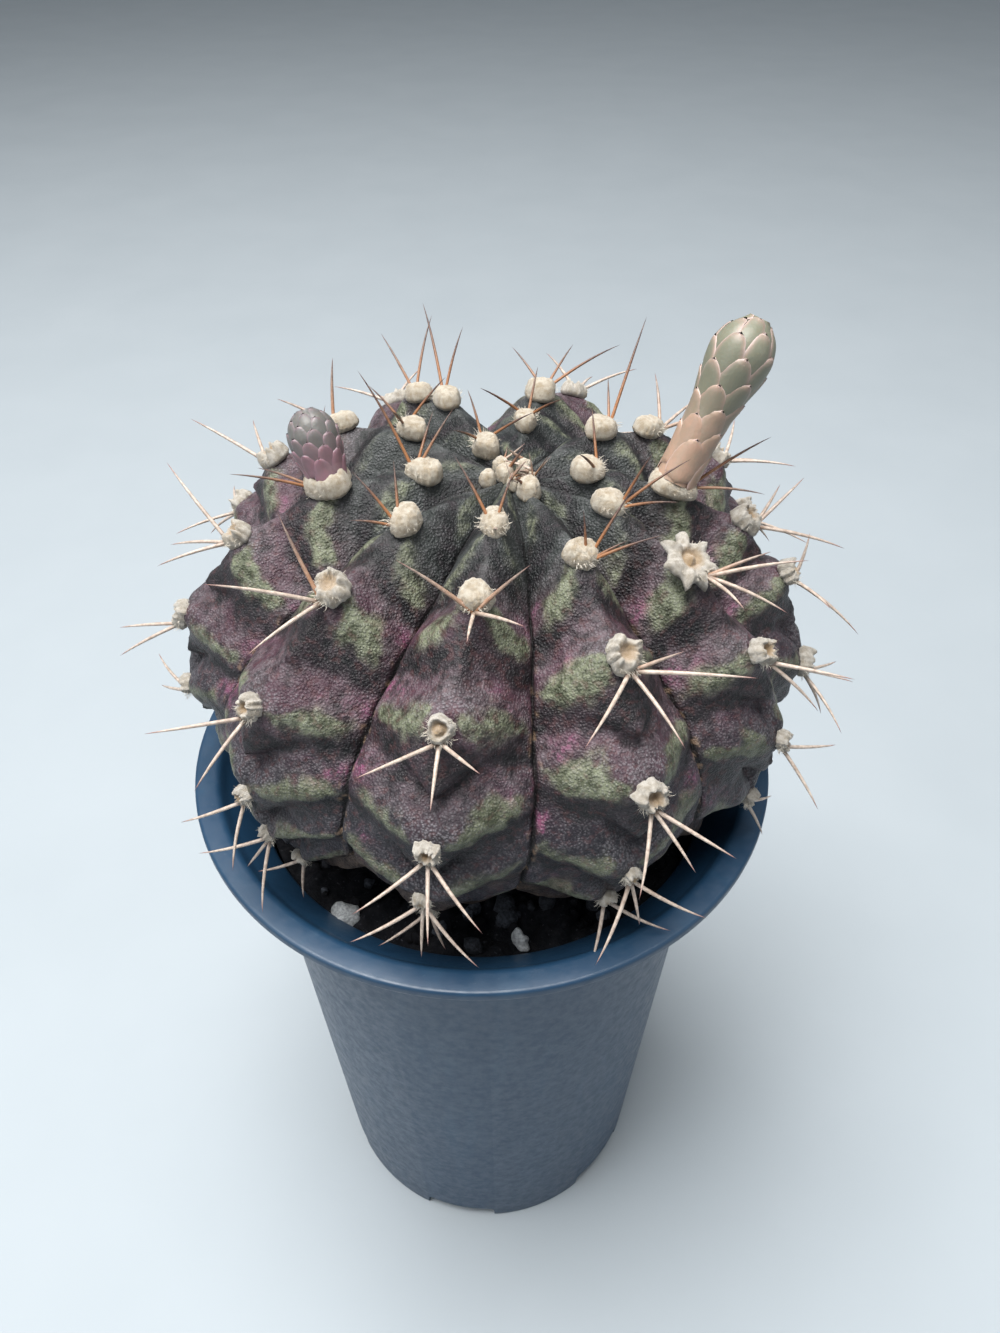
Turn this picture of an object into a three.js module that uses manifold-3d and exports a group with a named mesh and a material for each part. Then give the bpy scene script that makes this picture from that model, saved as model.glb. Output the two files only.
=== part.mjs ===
// A small ribbed cactus with two flower buds, growing in a round plastic nursery pot.
// Millimetres, +Z up. The origin is the middle of the pot's underside, and -Y is the front.
import * as THREE from "three";
import { mergeVertices } from "three/addons/utils/BufferGeometryUtils.js";
import Module from "manifold-3d";

const wasm = await Module();
wasm.setup();

// Pot: a deep, slightly tapered cup with a flat lip on a flared neck
const RIM_RADIUS = 35;
const RIM_HEIGHT = 88;
const LIP_INNER_RADIUS = 32.2;
const LIP_THICKNESS = 1.4;
const LIP_EDGE_ROUND = 0.4;
const NECK_HEIGHT = 4.8;
const BASE_RADIUS = 24.6;
const BASE_CHAMFER = 0.8;
const WALL_TAPER = 0.048;
const WALL_THICKNESS = 0.9;
const FLOOR_THICKNESS = 1.3;
const POT_SIDES = 48;
const DRAIN_NOTCHES = 6;
const DRAIN_NOTCH_WIDTH = 11;
const DRAIN_NOTCH_HEIGHT = 3;
const DRAIN_NOTCH_DEPTH = 4;
const FIRST_DRAIN_NOTCH_TURN = 18;

// Potting mix: a plug that fills the cup to a little below the lip
const FIT_GAP = 0.3;
const SMALLEST_EDGE = 0.03;
const MERGE_DISTANCE = 1e-3;
const SOIL_HEIGHT = 80.6;
const SOIL_LUMP = 0.55;
const SOIL_RINGS = [0, 6, 11, 15, 19, 23];

// Stem: a squat globe, its rib crests on a superellipse about the stem's own axis
const STEM_AXIS = { x: 1.6, y: 3 };
const STEM_CENTRE_HEIGHT = 103;
const STEM_RADIUS = 34.2;
const STEM_UPPER_HEIGHT = 24;
const STEM_LOWER_HEIGHT = 25;
const UPPER_ROUNDNESS = 2.2;
const LOWER_ROUNDNESS = 2;
const CROWN_DIP = 3.6;
const CROWN_DIP_RADIUS = 9.5;
const CROWN_SHIFT = 1.5;
const CROWN_SHIFT_RADIUS = 14;
const FURROW_DEPTH = 5.2;
const FURROW_SHARE_OF_RADIUS = 0.3;
const FURROW_FADE_FROM = 58;
const FURROW_FADE_TO = 100;
const FURROW_FADE = 0.6;
const HUMP_HEIGHT = 1.3;
const HUMP_SLANT = 9;
const HUMP_FADE = 0.6;
const HUMP_MEAN = 0.1;
const HUMP_GROWN_RADIUS = 22;
const STEM_COLUMNS = 80;
const STEM_ROWS = 24;
const ROOT_NECK_RADIUS = 8;
const ROOT_DEPTH = 30;
const ROOT_SINK = 4;
const ROOT_SIDES = 12;

// Ribs, with each areole's azimuth from the front, positive to the right, and angle down from the crown
const RIBS = [
  { name: "a", areoles: [[-4, 18], [-6, 34], [-10, 58], [-11, 84], [-13, 102], [-14, 117]] },
  { name: "b", areoles: [[25, 28], [24, 48], [23, 76], [21, 98], [19, 112]] },
  { name: "c", areoles: [[50, 21], [52, 39], [53, 62], [56, 88], [54, 107]] },
  { name: "d", areoles: [[76, 13], [78, 29], [80, 46], [78, 62], [77, 88]] },
  { name: "e", areoles: [[118, 19], [114, 30], [113, 52], [114, 76], [114, 102]] },
  { name: "f", areoles: [[162, 13], [160, 25], [156, 45], [153, 70], [152, 96]] },
  { name: "g", areoles: [[203, 7], [201, 22], [209, 29], [204, 52], [201, 82]] },
  { name: "h", areoles: [[235, 17], [237, 32], [250, 46], [244, 72], [242, 98]] },
  { name: "j", areoles: [[283, 12], [281, 27], [282, 47], [278, 75], [282, 92]] },
  { name: "k", areoles: [[321, 22], [319, 39], [315, 67], [314, 90], [315, 104], [319, 114]] },
];

// Areoles and spines
const PAD_RADIUS = { young: 1.7, grown: 1.9, old: 1.35 };
const SPINE_ROOT_RADIUS = { young: 0.3, grown: 0.4, old: 0.38 };
const PAD_SIDES = 8;
const PAD_PROFILE = [[0, 0], [0.85, 0], [1, 0.3], [0.75, 0.75], [0, 0.95]];
const SPINE_ROOT_OUT = 0.45;
const SPINE_ROOT_LIFT = 0.4;
const SPINE_BOW = 0.09;
const SPINE_SIDES = 4;
const SPINE_STEPS = 2;
const YOUNG_ABOVE = 30;
const OLD_BELOW = 96;

// Spines whose direction shows: turn from straight down, positive to the right, lift and length
const SPINES = {
  a1: [[-140, 40, 7.6], [155, 45, 5.5], [10, 35, 4]],
  a2: [[-112, 28, 8], [122, 32, 6.5], [60, 30, 6], [-3, 25, 5]],
  a3: [[-62, 28, 7.8], [68, 42, 6], [3, 30, 6.2]],
  a4: [[-66, 40, 8.1], [13, 48, 7.4], [55, 30, 8]],
  a5: [[-75, 33, 8], [0, 34, 6.5], [64, 32, 8]],
  a6: [[-70, 44, 5.4], [25, 44, 4.6]],
  b1: [[120, 36, 7.4], [72, 30, 7], [170, 50, 4.5], [5, 35, 4]],
  b2: [[88, 45, 5], [61, 33, 10.8], [-57, 17, 9.5], [6, 20, 8.3]],
  b3: [[-34, 28, 8], [18, 35, 6.8], [50, 40, 8.5]],
  b4: [[-41, 31, 9], [6, 30, 5.5], [70, 40, 8.3]],
  b5: [[-38, 52, 4.9], [75, 38, 8]],
  c1: [[60, 32, 8], [15, 26, 6], [70, 62, 6]],
  c2: [[38, 41, 9], [9, 18, 8], [56, 42, 6], [-35, 30, 6]],
  c3: [[26, 54, 8], [34, 38, 8.4], [8, 18, 7]],
  c4: [[66, 34, 7.5], [-20, 46, 7.3]],
  c5: [[66, 24, 6], [22, 40, 7]],
  d1: [[100, 42, 6.5], [-100, 45, 6]],
  d2: [[44, 24, 10.4], [-2, 16, 7.4]],
  d3: [[0, 25, 9.5], [68, 46, 7.4], [80, 30, 6]],
  d4: [[-12, 21, 9], [140, 40, 5], [-75, 30, 6]],
  e1: [[35, 45, 12.4], [60, 30, 6]],
  e2: [[80, 38, 6.8], [-40, 35, 7], [20, 30, 6.5]],
  f2: [[-15, 36, 7], [60, 32, 6.6], [-52, 29, 10]],
  g2: [[-8, 44, 11.6], [-50, 50, 8]],
  g3: [[10, 55, 8], [-60, 52, 9.4]],
  h2: [[-86, 57, 7.2], [10, 35, 7]],
  h3: [[-10, 54, 10], [-66, 36, 6.6]],
  j1: [[-50, 42, 11.2], [-116, 42, 6.6], [-142, 50, 7.4]],
  j2: [[-8, 30, 8.2], [-40, 16, 6.8], [-112, 24, 9.4]],
  j3: [[-86, 46, 10.4], [6, 28, 7.3], [-30, 20, 7]],
  j4: [[-35, 50, 8], [0, 45, 8]],
  j5: [[-95, 26, 7.5], [-60, 32, 7.5]],
  k1: [[-95, 36, 6.6], [-140, 38, 6.2], [-46, 20, 4.5]],
  k2: [[-125, 34, 8.7], [-52, 40, 10.2], [-8, 18, 8.2]],
  k3: [[-53, 54, 9], [6, 33, 8]],
  k4: [[-57, 40, 7.6], [22, 35, 7]],
  k5: [[-92, 50, 7.8], [35, 50, 7.8], [-30, 42, 5.5]],
  k6: [[-75, 40, 6.5], [5, 45, 5.5]],
};
const HIDDEN_SPINES = {
  young: [[-115, 42, 6.5], [115, 42, 6.5], [0, 35, 5.5]],
  grown: [[-62, 34, 8], [2, 26, 7], [62, 34, 8]],
  old: [[-68, 38, 6.5], [66, 38, 6.5]],
};

// Flower buds: each stands in an areole's wool and leans outwards
const BUDS = [
  {
    name: "flower_bud_tall",
    rib: "d",
    areole: 1,
    length: 14.6,
    lean: [0.37, 0.28, 0.89],
    bow: 0.05,
    profile: [[0, 2.1], [0.25, 2.1], [0.5, 2.2], [0.66, 2.7], [0.82, 2.9], [0.94, 2]],
  },
  {
    name: "flower_bud_short",
    rib: "j",
    areole: 1,
    length: 5.8,
    lean: [-0.28, 0.41, 0.87],
    bow: 0.04,
    profile: [[0, 1.8], [0.3, 2.1], [0.55, 2.4], [0.78, 2.1], [0.93, 1.3]],
  },
];
const BUD_SEAT_HEIGHT = 2.8;
const BUD_SIDES = 12;
const BUD_RINGS = 10;

// Crown wool and two white grains of the potting mix that lie loose on top
const CROWN_WOOL_RADIUS = 2.6;
const CROWN_WOOL_HEIGHT = 1.2;
const CROWN_WOOL_LIFT = 0.2;
const GRAIN_SEAT = 0.6;
const GRAINS = [
  { name: "white_grain_left", turn: -36, distance: 25.7, radius: 1.5 },
  { name: "white_grain_front", turn: 8, distance: 26, radius: 1.1 },
];

const COLOURS = {
  pot: { color: 0x2c4a66, roughness: 0.42 },
  soil: { color: 0x1c1a1c, roughness: 0.95 },
  grain: { color: 0xb9b9b6, roughness: 0.9 },
  stem: { color: 0x3b3436, roughness: 0.6 },
  areole: { color: 0xd9cdb4, roughness: 0.95 },
  bud: { color: 0xa98479, roughness: 0.6 },
};

const radians = THREE.MathUtils.degToRad;

// A closed three.js geometry as a solid.
function solidOf(geometry) {
  const bare = geometry.clone();
  bare.deleteAttribute("normal");
  bare.deleteAttribute("uv");
  const merged = mergeVertices(bare, MERGE_DISTANCE);
  return new wasm.Manifold(
    new wasm.Mesh({
      numProp: 3,
      vertProperties: new Float32Array(merged.attributes.position.array),
      triVerts: new Uint32Array(merged.index.array),
    }),
  );
}

// A solid as a three.js geometry.
function geometryOf(solid) {
  const { vertProperties, triVerts } = solid.getMesh();
  const geometry = new THREE.BufferGeometry();
  geometry.setAttribute("position", new THREE.BufferAttribute(vertProperties, 3));
  geometry.setIndex(new THREE.BufferAttribute(triVerts, 1));
  geometry.computeVertexNormals();
  return geometry;
}

// The largest of a solid's separate bodies. Merging close points can pinch off a sliver or a sealed
// hollow, so the largest is taken again until only one body is left.
function mainBody(solid) {
  let bodies = solid.simplify(SMALLEST_EDGE).decompose();
  let largest = bodies[0];
  do {
    largest = bodies.reduce((best, body) => (body.volume() > best.volume() ? body : best));
    bodies = solidOf(geometryOf(largest)).decompose();
  } while (bodies.length > 1);
  return bodies[0];
}

// Moves every vertex of a geometry to where place(point) puts it.
function reshape(geometry, place) {
  const position = geometry.attributes.position;
  const point = new THREE.Vector3();
  for (let i = 0; i < position.count; i += 1) {
    point.fromBufferAttribute(position, i);
    const moved = place(point);
    position.setXYZ(i, moved.x, moved.y, moved.z);
  }
  return geometry;
}

// A profile of [radius, height] points turned about the Z axis.
function turned(profile, sides) {
  const points = profile.map(([radius, height]) => new THREE.Vector2(radius, height));
  return new THREE.LatheGeometry(points, sides).rotateX(Math.PI / 2);
}

function potOuterRadius(height) {
  return BASE_RADIUS + WALL_TAPER * height;
}

function potInnerRadius(height) {
  return potOuterRadius(height) - WALL_THICKNESS;
}

// The cup, from the middle of its underside up the outside, over the lip and down the inside.
function makePot() {
  const neckFoot = RIM_HEIGHT - NECK_HEIGHT;
  const lipUnderside = RIM_HEIGHT - LIP_THICKNESS;
  const cup = solidOf(
    turned(
      [
        [0, 0],
        [BASE_RADIUS - BASE_CHAMFER, 0],
        [BASE_RADIUS, BASE_CHAMFER],
        [potOuterRadius(neckFoot), neckFoot],
        [LIP_INNER_RADIUS, lipUnderside],
        [RIM_RADIUS - LIP_EDGE_ROUND, lipUnderside],
        [RIM_RADIUS, lipUnderside + LIP_EDGE_ROUND],
        [RIM_RADIUS, RIM_HEIGHT - LIP_EDGE_ROUND],
        [RIM_RADIUS - LIP_EDGE_ROUND, RIM_HEIGHT],
        [LIP_INNER_RADIUS, RIM_HEIGHT],
        [LIP_INNER_RADIUS - WALL_THICKNESS, lipUnderside],
        [potInnerRadius(neckFoot), neckFoot],
        [potInnerRadius(FLOOR_THICKNESS), FLOOR_THICKNESS],
        [0, FLOOR_THICKNESS],
      ],
      POT_SIDES,
    ),
  );
  const notches = [];
  for (let i = 0; i < DRAIN_NOTCHES; i += 1) {
    const notch = new THREE.BoxGeometry(
      2 * DRAIN_NOTCH_DEPTH,
      DRAIN_NOTCH_WIDTH,
      2 * DRAIN_NOTCH_HEIGHT,
    );
    notch.translate(BASE_RADIUS, 0, 0);
    notch.rotateZ(radians(FIRST_DRAIN_NOTCH_TURN + (360 * i) / DRAIN_NOTCHES));
    notches.push(solidOf(notch));
  }
  return notches.reduce((pot, notch) => pot.subtract(notch), cup);
}

// Radius and height of the rib crests at an angle down from the crown, less their dip at the crown.
function crest(angle) {
  const sine = Math.sin(angle);
  const cosine = Math.cos(angle);
  const roundness = cosine > 0 ? UPPER_ROUNDNESS : LOWER_ROUNDNESS;
  const tall = cosine > 0 ? STEM_UPPER_HEIGHT : -STEM_LOWER_HEIGHT;
  const radius = STEM_RADIUS * Math.abs(sine) ** (2 / roundness);
  const rise = tall * Math.abs(cosine) ** (2 / roundness);
  const dip = cosine > 0 ? CROWN_DIP * Math.exp(-((radius / CROWN_DIP_RADIUS) ** 2)) : 0;
  return new THREE.Vector2(radius, STEM_CENTRE_HEIGHT + rise - dip);
}

// Outward normal of the crest line, as [outwards, upwards].
function crestNormal(angle) {
  const step = 0.01;
  const low = Math.max(angle - step, 0.001);
  const high = Math.min(angle + step, Math.PI - 0.001);
  const along = crest(high).sub(crest(low)).normalize();
  return new THREE.Vector2(-along.y, along.x);
}

// The areoles that an angle lies between, and how far it is from the first of them to the second.
function areolesAround(rib, angle) {
  const last = rib.areoles.length - 1;
  const next = rib.areoles.findIndex(([, place]) => radians(place) > angle);
  const i = next < 0 ? last - 1 : Math.max(next - 1, 0);
  const [from, to] = [radians(rib.areoles[i][1]), radians(rib.areoles[i + 1][1])];
  return { i, share: (angle - from) / (to - from) };
}

// The azimuth of a rib's crest at an angle, on straight runs from areole to areole.
function crestAzimuth(rib, angle) {
  const { i, share } = areolesAround(rib, angle);
  const held = THREE.MathUtils.clamp(share, 0, 1);
  return THREE.MathUtils.lerp(rib.areoles[i][0], rib.areoles[i + 1][0], held);
}

// The rib nearest to an azimuth, with how far off its crest that is: 0 on the crest, 1 in the furrow.
function nearestRib(azimuth, angle) {
  const turns = RIBS.map((rib) => {
    const turn = azimuth - crestAzimuth(rib, angle);
    return THREE.MathUtils.euclideanModulo(turn + 180, 360) - 180;
  });
  const nearest = (list) => list.reduce((a, b) => (Math.abs(turns[b]) < Math.abs(turns[a]) ? b : a));
  const all = RIBS.map((_, i) => i);
  const behind = nearest(all.filter((i) => turns[i] >= 0));
  const ahead = nearest(all.filter((i) => turns[i] < 0));
  const halfway = (turns[behind] - turns[ahead]) / 2;
  const i = turns[behind] <= halfway ? behind : ahead;
  return { rib: RIBS[i], off: Math.min(Math.abs(turns[i]) / halfway, 1) };
}

// A point of the stem's skin, moved outwards by extra. Furrows sink between the ribs, shallower towards
// the foot, and each areole sits on a hump whose flanks slant up towards the furrows.
function stemPoint(azimuth, angle, extra = 0) {
  const { rib, off } = nearestRib(azimuth, angle);
  const line = crest(angle);
  const normal = crestNormal(angle);
  const { share } = areolesAround(rib, angle + radians(HUMP_SLANT) * off);
  const bulge = Math.min(1, line.x / HUMP_GROWN_RADIUS) * (1 - HUMP_FADE * off);
  const hump = HUMP_HEIGHT * bulge * (Math.cos(2 * Math.PI * share) / 2 + HUMP_MEAN);
  const low = THREE.MathUtils.smoothstep(angle, radians(FURROW_FADE_FROM), radians(FURROW_FADE_TO));
  const depth = Math.min(FURROW_DEPTH, FURROW_SHARE_OF_RADIUS * line.x) * (1 - FURROW_FADE * low);
  const furrow = depth * off;
  const out = hump - furrow + extra;
  const radius = Math.max(line.x + normal.x * out, 0);
  const shift = angle < Math.PI / 2 ? CROWN_SHIFT * Math.exp(-((line.x / CROWN_SHIFT_RADIUS) ** 2)) : 0;
  const turn = radians(azimuth);
  return new THREE.Vector3(
    STEM_AXIS.x + shift + radius * Math.sin(turn),
    STEM_AXIS.y - radius * Math.cos(turn),
    line.y + normal.y * out,
  );
}

// Turns an even spread of columns into one with the same number of columns on every rib.
function columnAzimuth(around, angle) {
  const spread = THREE.MathUtils.euclideanModulo(around, 360) / (360 / RIBS.length);
  const whole = Math.floor(spread + 1e-6);
  const from = crestAzimuth(RIBS[whole % RIBS.length], angle);
  const to = crestAzimuth(RIBS[(whole + 1) % RIBS.length], angle);
  return from + (spread - whole) * THREE.MathUtils.euclideanModulo(to - from, 360);
}

// The ribbed globe with the neck of its tap root. The columns of the grid follow the ribs.
function makeStem(extra = 0) {
  const globe = reshape(
    new THREE.SphereGeometry(1, STEM_COLUMNS, STEM_ROWS).rotateX(Math.PI / 2),
    (point) => {
      const angle = Math.acos(THREE.MathUtils.clamp(point.z, -1, 1));
      const flat = Math.hypot(point.x, point.y);
      const around = flat < 1e-6 ? 0 : THREE.MathUtils.radToDeg(Math.atan2(point.x, -point.y));
      return stemPoint(columnAzimuth(around, angle), angle, extra);
    },
  );
  const root = new THREE.ConeGeometry(ROOT_NECK_RADIUS + extra, ROOT_DEPTH, ROOT_SIDES);
  root.rotateX(-Math.PI / 2);
  const rootTop = STEM_CENTRE_HEIGHT - STEM_LOWER_HEIGHT + ROOT_SINK;
  root.translate(STEM_AXIS.x, STEM_AXIS.y, rootTop - ROOT_DEPTH / 2 - extra);
  return solidOf(globe).add(solidOf(root));
}

// Where an areole sits: its point on the skin, and the outward, downward and rightward directions.
function areoleFrame([azimuth, degrees]) {
  const step = 0.02;
  const angle = radians(degrees);
  const point = stemPoint(azimuth, angle);
  const down = crest(angle + step).sub(crest(angle - step)).normalize();
  const turn = radians(azimuth);
  const outwards = new THREE.Vector3(Math.sin(turn), -Math.cos(turn), 0);
  const downward = outwards.clone().multiplyScalar(down.x).add(new THREE.Vector3(0, 0, down.y));
  const right = new THREE.Vector3(Math.cos(turn), Math.sin(turn), 0);
  const normal = new THREE.Vector3().crossVectors(right, downward).negate();
  return { point, normal, downward, right };
}

function ageOf(angle) {
  if (angle < YOUNG_ABOVE) return "young";
  return angle > OLD_BELOW ? "old" : "grown";
}

// A four-sided spine from base to tip along a curve that bows away from the skin.
function makeSpine(base, tip, normal, rootRadius) {
  const length = base.distanceTo(tip);
  const middle = base.clone().lerp(tip, 0.5).addScaledVector(normal, SPINE_BOW * length);
  const curve = new THREE.QuadraticBezierCurve3(base, middle, tip);
  const axis = tip.clone().sub(base).normalize();
  const across = new THREE.Vector3().crossVectors(axis, normal).normalize();
  const upright = new THREE.Vector3().crossVectors(axis, across);
  const cone = new THREE.ConeGeometry(rootRadius, 1, SPINE_SIDES, SPINE_STEPS).rotateX(Math.PI / 2);
  return solidOf(
    reshape(cone, (point) =>
      curve
        .getPoint(point.z + 0.5)
        .addScaledVector(across, point.x)
        .addScaledVector(upright, point.y),
    ),
  );
}

// A felt pad with its spines, as one solid that clears the skin by the fit gap. Each spine leaves the
// pad on the side that it points to.
function makeAreole(rib, index) {
  const areole = rib.areoles[index];
  const age = ageOf(areole[1]);
  const { point, normal, downward, right } = areoleFrame(areole);
  const foot = point.clone().addScaledVector(normal, FIT_GAP);
  const radius = PAD_RADIUS[age];
  const pad = turned(
    PAD_PROFILE.map(([across, up]) => [across * radius, up * radius]),
    PAD_SIDES,
  );
  const upright = new THREE.Quaternion().setFromUnitVectors(new THREE.Vector3(0, 0, 1), normal);
  pad.applyQuaternion(upright).translate(foot.x, foot.y, foot.z);
  const list = SPINES[rib.name + (index + 1)] ?? HIDDEN_SPINES[age];
  let cluster = solidOf(pad);
  for (const [turn, lift, length] of list) {
    const level = downward
      .clone()
      .multiplyScalar(Math.cos(radians(turn)))
      .addScaledVector(right, Math.sin(radians(turn)));
    const along = level
      .clone()
      .multiplyScalar(Math.cos(radians(lift)))
      .addScaledVector(normal, Math.sin(radians(lift)));
    const base = foot
      .clone()
      .addScaledVector(level, SPINE_ROOT_OUT * radius)
      .addScaledVector(normal, SPINE_ROOT_LIFT * radius);
    const tip = base.clone().addScaledVector(along, length);
    cluster = cluster.add(makeSpine(base, tip, normal, SPINE_ROOT_RADIUS[age]));
  }
  return mainBody(cluster);
}

// The mix, from its flat underside to its lumpy top, with the stem's dent and the root's hole.
function makeSoil(skin) {
  const top = potInnerRadius(SOIL_HEIGHT) - FIT_GAP;
  const foot = FLOOR_THICKNESS + FIT_GAP;
  const rings = SOIL_RINGS.map((radius) => [radius, SOIL_HEIGHT]).reverse();
  const plug = turned(
    [[0, foot], [potInnerRadius(foot) - FIT_GAP, foot], [top, SOIL_HEIGHT], ...rings],
    POT_SIDES / 2,
  );
  const lumpy = reshape(plug, (point) => {
    if (point.z < SOIL_HEIGHT - 1) return point;
    const small = Math.sin(point.x * 0.9 + 1) * Math.cos(point.y * 0.8);
    const broad = Math.sin(point.x * 0.37 - point.y * 0.5);
    return point.setZ(point.z + SOIL_LUMP * (small + broad));
  });
  return mainBody(solidOf(lumpy).subtract(skin));
}

// A blunt bud: a turned profile carried up a slightly bowed line.
function makeBud(bud) {
  const rib = RIBS.find(({ name }) => name === bud.rib);
  const { point, normal } = areoleFrame(rib.areoles[bud.areole]);
  const lean = new THREE.Vector3(...bud.lean).normalize();
  const base = point.clone().addScaledVector(normal, BUD_SEAT_HEIGHT);
  const tip = base.clone().addScaledVector(lean, bud.length);
  const across = new THREE.Vector3().crossVectors(lean, normal).normalize();
  const forward = new THREE.Vector3().crossVectors(lean, across);
  const middle = base.clone().lerp(tip, 0.5).addScaledVector(forward, bud.bow * bud.length);
  const curve = new THREE.QuadraticBezierCurve3(base, middle, tip);
  const outline = new THREE.SplineCurve(bud.profile.map((pair) => new THREE.Vector2(...pair)));
  const shape = outline.getPoints(BUD_RINGS).map(({ x, y }) => [y, x]);
  const body = turned([[0, 0], ...shape, [0, 1]], BUD_SIDES);
  return solidOf(
    reshape(body, (place) =>
      curve.getPoint(place.z).addScaledVector(across, place.x).addScaledVector(forward, place.y),
    ),
  );
}

// The woolly growing point in the middle of the crown.
function makeCrownWool(skin) {
  const { x, y, z } = stemPoint(0, 0);
  const wool = new THREE.SphereGeometry(CROWN_WOOL_RADIUS, 12, 8);
  wool.scale(1, 1, CROWN_WOOL_HEIGHT / CROWN_WOOL_RADIUS);
  wool.translate(x, y, z + CROWN_WOOL_LIFT);
  return mainBody(solidOf(wool).subtract(skin));
}

// A pumice grain that rests in the top of the mix.
function makeGrain({ turn, distance, radius }, soil) {
  const grain = new THREE.IcosahedronGeometry(radius, 0);
  grain.scale(1, 0.85, 0.8);
  const across = distance * Math.sin(radians(turn));
  const back = -distance * Math.cos(radians(turn));
  grain.translate(across, back, SOIL_HEIGHT + radius * GRAIN_SEAT);
  return mainBody(solidOf(grain).subtract(soil.translate([0, 0, FIT_GAP])));
}

const part = new THREE.Group();

function addPiece(name, solid, look) {
  const material = new THREE.MeshStandardMaterial({ ...COLOURS[look], metalness: 0 });
  const mesh = new THREE.Mesh(geometryOf(solid), material);
  mesh.name = name;
  part.add(mesh);
}

const stemClearance = makeStem(FIT_GAP);
const soil = makeSoil(stemClearance);
addPiece("pot", makePot(), "pot");
addPiece("soil", soil, "soil");
addPiece("stem", makeStem(), "stem");
addPiece("crown_wool", makeCrownWool(stemClearance), "areole");

for (const bud of BUDS) {
  addPiece(bud.name, makeBud(bud), "bud");
}
for (const rib of RIBS) {
  rib.areoles.forEach((_, index) => {
    addPiece(`areole_${rib.name}${index + 1}`, makeAreole(rib, index), "areole");
  });
}
for (const grain of GRAINS) {
  addPiece(grain.name, makeGrain(grain, soil), "grain");
}

export default part;
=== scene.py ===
import math

import bmesh
import bpy
import numpy as np
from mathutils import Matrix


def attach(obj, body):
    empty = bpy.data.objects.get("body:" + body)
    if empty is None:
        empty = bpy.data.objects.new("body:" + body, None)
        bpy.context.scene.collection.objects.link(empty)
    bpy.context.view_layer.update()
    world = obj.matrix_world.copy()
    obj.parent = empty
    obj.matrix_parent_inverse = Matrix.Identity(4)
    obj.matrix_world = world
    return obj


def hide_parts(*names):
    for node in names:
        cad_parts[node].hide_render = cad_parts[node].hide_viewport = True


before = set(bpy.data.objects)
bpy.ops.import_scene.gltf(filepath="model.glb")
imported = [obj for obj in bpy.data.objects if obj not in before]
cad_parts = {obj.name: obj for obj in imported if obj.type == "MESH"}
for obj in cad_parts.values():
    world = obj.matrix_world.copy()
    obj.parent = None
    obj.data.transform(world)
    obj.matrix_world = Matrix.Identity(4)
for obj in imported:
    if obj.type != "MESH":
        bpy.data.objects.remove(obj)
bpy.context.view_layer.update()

# The bench and the light. The plant stands on a plain pale surface and is seen from close by and from
# about 46 degrees above. The light is a wide soft lamp overhead, with two weak ones at the sides. Lengths
# are in millimetres, and those of the lamps in metres.
MM = 0.001
RIM_RADIUS = 35.0
RIM_HEIGHT = 88.0
VIEW_DISTANCE = 3.57 * RIM_RADIUS
VIEW_ELEVATION = math.radians(46.25)
VIEW_YAW = 0.019
VIEW_PITCH = 0.071
VIEW_ROLL = math.radians(-0.18)
VIEW_LENS = 27.03
VIEW_SENSOR_WIDTH = 36.0
VIEW_NEAR_LIMIT = 5.0
LAMPS_FACE = (0.0, 0.0, 0.1)
SKY_COLOUR = (0.86, 0.93, 1.0, 1.0)
SKY_STRENGTH = 0.28
FLOOR_SIDES = 64
FLOOR_RADII = (0.001, 60.0, 200.0, 1500.0)


def unit(vector):
    """The vector divided by its own length, along the last axis."""
    return vector / np.linalg.norm(vector, axis=-1, keepdims=True)


def settle(thing, right, up, back, spot):
    """Turns a camera or a lamp by its three directions and puts it at spot, in metres."""
    matrix = np.identity(4)
    matrix[:3] = np.stack([right, up, back, spot], axis=1)
    thing.matrix_world = matrix.T.tolist()
    bpy.context.scene.collection.objects.link(thing)


def place_camera():
    """Aims at the middle of the rim, then turns by the yaw and pitch, then rolls about the line of sight."""
    spot = np.array([0.0, -math.cos(VIEW_ELEVATION), math.sin(VIEW_ELEVATION)]) * VIEW_DISTANCE
    ahead = unit(-spot)
    right = np.array([1.0, 0.0, 0.0])
    up = np.cross(right, ahead)
    ahead = unit(ahead + right * VIEW_YAW + up * VIEW_PITCH)
    right = unit(np.cross(ahead, [0.0, 0.0, 1.0]))
    up = np.cross(right, ahead)
    rolled = right * math.cos(VIEW_ROLL) + up * math.sin(VIEW_ROLL)
    up = up * math.cos(VIEW_ROLL) - right * math.sin(VIEW_ROLL)
    camera = bpy.data.objects.new("camera", bpy.data.cameras.new("camera"))
    camera.data.lens = VIEW_LENS
    camera.data.sensor_width = VIEW_SENSOR_WIDTH
    camera.data.clip_start = VIEW_NEAR_LIMIT * MM
    settle(camera, rolled, up, -ahead, (spot + [0.0, 0.0, RIM_HEIGHT]) * MM)
    bpy.context.scene.camera = camera


place_camera()


def add_lamp(name, spot, size, power, colour):
    """A square soft lamp at spot, turned to face the plant's middle."""
    lamp = bpy.data.lights.new(name, "AREA")
    lamp.shape = "SQUARE"
    lamp.size = size
    lamp.energy = power
    lamp.color = colour
    back = unit(np.array(spot) - LAMPS_FACE)
    side = unit(np.cross([0.0, 0.3, 1.0], back))
    settle(bpy.data.objects.new(name, lamp), side, np.cross(back, side), back, spot)


add_lamp("sky_lamp", spot=(-0.12, -0.02, 0.8), size=0.5, power=12.5, colour=(1.0, 0.99, 0.97))
add_lamp("window_lamp", spot=(-0.65, -0.4, 0.5), size=0.35, power=1.8, colour=(0.92, 0.96, 1.0))
add_lamp("fill_lamp", spot=(0.7, -0.35, 0.35), size=0.5, power=0.8, colour=(0.93, 0.96, 1.0))

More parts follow.
